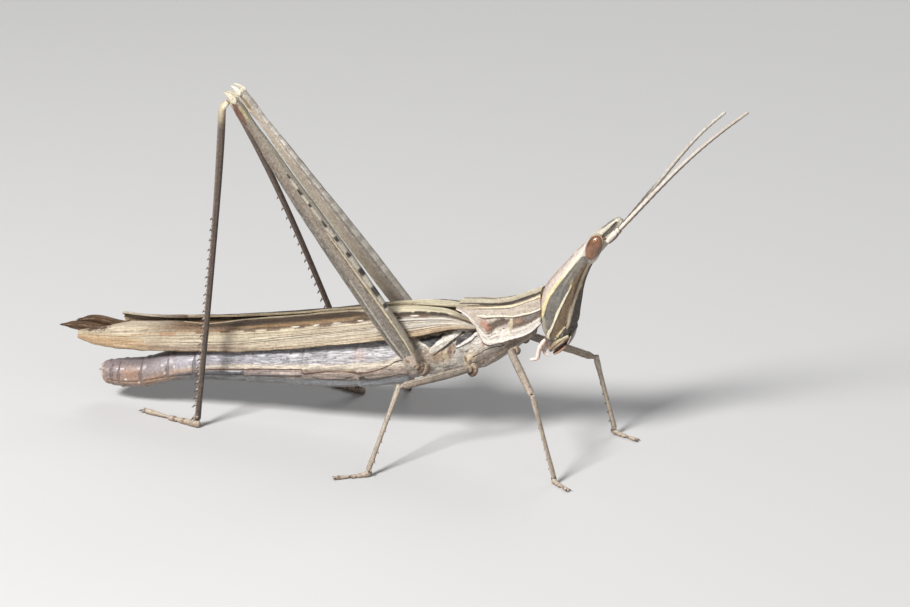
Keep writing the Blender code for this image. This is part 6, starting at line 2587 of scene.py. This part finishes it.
SHIN = Shell("Jumping shin", (0, 50), bands=(
    (0, even((.4, .3, .2), (.6, .5, .34), (.6, .5, .34), (.5, .4, .27))),
    (4.5, even((.06, .04, .028), (.07, .048, .034), (.1, .075, .055), (.24, .19, .15))),
    (16, even((.045, .03, .022), (.055, .036, .028), (.085, .065, .052), (.26, .21, .17))),
), marks=(
    Stripe(((5, .3, .05), (46, .34, .06)), (.13, .09, .07), .7, .5, .7),
    # near-white patch by the shin's root: painted highlight
    Stripe(((.4, .3, .3), (.9, .3, .3)), (.8, .72, .58), .8, .4, .8),
), mottle=(((.16, .11, .085), .25, 1.2),), pores=.25, grain=.03, speckle=((.4, .33, .26), .12, .16))
SPINE = Shell("Spine horn", (0, 1), bands=(
    (0, even((.4, .32, .25), (.34, .26, .2))),
    (.7, even(UMBER, SOOT)),
), rough=.32, coat=.3, grain=.004, pores=.05)
FOOT = Shell("Foot shell", (0, 10), bands=((0, even((.5, .42, .33), (.42, .34, .26), (.3, .22, .16),
    (.14, .1, .07))),), marks=(
    Stripe(((2.6, .4, .5), (2.9, .4, .5)), BROWN, .5, .4, .8),
    Stripe(((4.2, .4, .5), (4.5, .4, .5)), BROWN, .5, .4, .8),
), mottle=(((.16, .11, .08), .3, .9),), pores=.2, speckle=((.1, .07, .05), .2, .14))


@dataclass(frozen=True)
class EyeGloss:
    """The glossy faceted eye, red-brown with a darker middle band."""

    name: str = "Eye gloss"
    warm: Colour = (.25, .105, .045)
    dark: Colour = (.085, .045, .028)
    facet: float = .055
    coat: tuple[float, float] = (.8, .06)

    def build(self) -> Material:
        """The material of the eye.

        Returns:
            The material.
        """
        material, t, shader = new_material(self.name)
        lie = t.add("Attribute", attribute_name=LIE).outputs["Vector"]
        long, short, _ = t.add("SeparateXYZ", {0: lie}).outputs
        cloud = t.noise(lie, 1.1, 3)
        rim = t.climb(t.math("ABSOLUTE", short), .55, .98)
        band = t.math("MULTIPLY", t.climb(t.math("ABSOLUTE", long), 1.3, .1), t.climb(cloud, .35, .65))
        colour = t.mix(t.math("MULTIPLY", band, .55), self.warm, self.dark)
        streak = t.noise(t.vector("MULTIPLY", lie, (.5, 4.5, 4.5)), 1, 2)
        colour = t.mix(t.math("MULTIPLY", t.climb(streak, .5, .68), .55), colour, self.dark)
        colour = t.mix(t.math("MULTIPLY", rim, .75), colour, self.dark)
        facets = t.cells(lie, 1 / self.facet)
        colour = t.mix(t.math("MULTIPLY", t.climb(facets, .35, .6), .25), colour, (.05, .025, .015))
        dull = t.math("MULTIPLY_ADD", cloud, .12, .12)
        t.finish(shader, colour, dull, t.math("MULTIPLY", facets, -.012), self.coat)
        return material


EYE = EyeGloss()


# ---- studio

@dataclass
class Studio:
    """The floor, the lights, and the camera: where it looks (mm), how far it stands back (mm), how far round
    to the head's side and how far up (degrees), and its focal length (mm)."""

    target: Vector = field(default_factory=lambda: Vector((8.625, 0, 20)))
    distance: float = 512.4
    turn: float = 17
    height: float = 21
    lens: float = 150

    def make_floor(self) -> None:
        """A pale floor, far larger than the model."""
        clear_selection()
        bpy.ops.mesh.primitive_plane_add(size=6)
        floor = bpy.context.object
        floor.name = "floor"
        material, _, shader = new_material("Studio floor")
        shader.inputs["Base Color"].default_value = (.62, .61, .6, 1)
        shader.inputs["Roughness"].default_value = .85
        floor.data.materials.append(material)

    def make_camera(self) -> None:
        """The camera, looking at the right side from above and a little from the head's end."""
        turn, height = math.radians(self.turn), math.radians(self.height)
        level = math.cos(height)
        ahead = Vector((-math.sin(turn) * level, math.cos(turn) * level, -math.sin(height)))
        data = bpy.data.cameras.new("camera")
        data.lens, data.sensor_width = self.lens, 36
        data.clip_start, data.clip_end = .01, 20
        camera = bpy.data.objects.new("camera", data)
        bpy.context.collection.objects.link(camera)
        camera.location = (self.target - ahead * self.distance) * MM
        camera.rotation_mode = "QUATERNION"
        camera.rotation_quaternion = ahead.to_track_quat("-Z", "Y")
        bpy.context.scene.camera = camera

    def make_lights(self) -> None:
        """A large soft key from the upper left, a low fill, and an even pale surround."""
        for name, power, size, spot in (
            ("key", 5.9, .16, (-.2, -.44, .46)),
            ("fill", .5, .5, (.45, -.35, .25)),
            ("back", .8, .3, (.1, .45, .4)),
        ):
            data = bpy.data.lights.new(name, "AREA")
            data.energy, data.size = power, size
            light = bpy.data.objects.new(name, data)
            bpy.context.collection.objects.link(light)
            light.location = spot
            light.rotation_mode = "QUATERNION"
            light.rotation_quaternion = (Vector((0, 0, .02)) - Vector(spot)).to_track_quat("-Z", "Y")
        world = bpy.data.worlds.new("surround")
        world.use_nodes = True
        world.node_tree.nodes["Background"].inputs["Color"].default_value = (.92, .95, 1, 1)
        world.node_tree.nodes["Background"].inputs["Strength"].default_value = .2
        bpy.context.scene.world = world
        bpy.context.scene.view_settings.view_transform = "Standard"


# ---- the whole animal

def build_head() -> None:
    """The head, its eyes, mouth and feelers."""
    head = Head()
    dress(head.make_capsule(), "head_shell", HEAD, "head")
    dress(head.make_simple_eyes(), "eye", EYE)
    dress(head.make_lip(), "jaw_shell", LIP, "labrum")
    for side in Side:
        dress(head.make_eye(side), "eye", None, f"eye_{side.word}")
        dress(head.make_jaw(side), "jaw_shell", JAW, f"mandible_{side.word}")
        dress(head.make_palps(side), "palp_shell", PALP, f"palp_{side.word}")
        feeler = Feeler(side)
        look = FEELER if side is Side.RIGHT else SHADED_FAR_FEELER
        dress(feeler.make_root(), "feeler_shell", look, f"scape_{side.word}")
        dress(feeler.make_lash(), "feeler_shell", look, f"antenna_{side.word}")


def build_trunk() -> None:
    """The saddle, the trunk, the abdomen and its tail."""
    dress(Saddle().make(), "saddle_shell", SADDLE, "pronotum")
    trunk = Trunk()
    for name, rear, front in trunk.rings:
        dress(trunk.make_ring(name, rear, front), "trunk_shell", TRUNK, name)
    dress(trunk.make_neck(), "joint_skin", NECK, "neck")
    abdomen = Abdomen()
    for index in range(len(abdomen.ends)):
        dress(abdomen.make_ring(index), "belly_shell", BELLY, f"abdomen_{index + 1}")
    for name, level in (("upper", 5.15), ("lower", 3.45)):
        dress(abdomen.make_valves(name, level), "belly_shell", BELLY, f"ovipositor_{name}")
    dress(abdomen.make_tail_plates(), "belly_shell", BELLY)


def build_wings() -> None:
    """Both pairs of wings."""
    wings = Wings()
    for side in Side:
        dress(wings.make_fore(side), "fore_wing", FORE_WING, f"tegmen_{side.word}")
        dress(wings.make_hind(side), "hind_wing", HIND_WING, f"hindwing_{side.word}")


def build_legs() -> None:
    """The six legs."""
    hardware = Hardware()
    for side in Side:
        legs = (
            Leg(Pair.FORE, side, place(18.2, 1.9, 15), (.55, .68)),
            Leg(Pair.MID, side, place(12.3, 3.05, 11.9), (.9, .54)),
            JumpingLeg(Pair.HIND, side, place(5.9, 3.55, 11.3), (.9, .55), bow=SHIN_BOWS[side]),
        )
        for leg in legs:
            jumping = leg.pair is Pair.HIND
            thigh = (THIGH if side is Side.RIGHT else FAR_THIGH) if jumping else WALKING
            thigh_slot, shin_slot = ("thigh_shell", "shin_shell") if jumping else ("walking_leg",) * 2
            dress(leg.make_coxa(), "trunk_shell", COXA, leg.tag % "coxa")
            dress(leg.make_thigh(), thigh_slot, thigh, leg.tag % "femur")
            dress(leg.make_shin(hardware), shin_slot, None, leg.tag % "tibia")
            dress(leg.make_foot(hardware), "foot_shell", None, leg.tag % "tarsus")
    drop(hardware.spine, hardware.claw)


def main() -> None:
    """Builds the animal and the studio."""
    logging.basicConfig(level=logging.INFO, format="%(name)s: %(message)s")
    build_head()
    build_trunk()
    build_wings()
    build_legs()
    studio = Studio()
    studio.make_floor()
    studio.make_camera()
    studio.make_lights()
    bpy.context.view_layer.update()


if __name__ == "__main__":
    main()
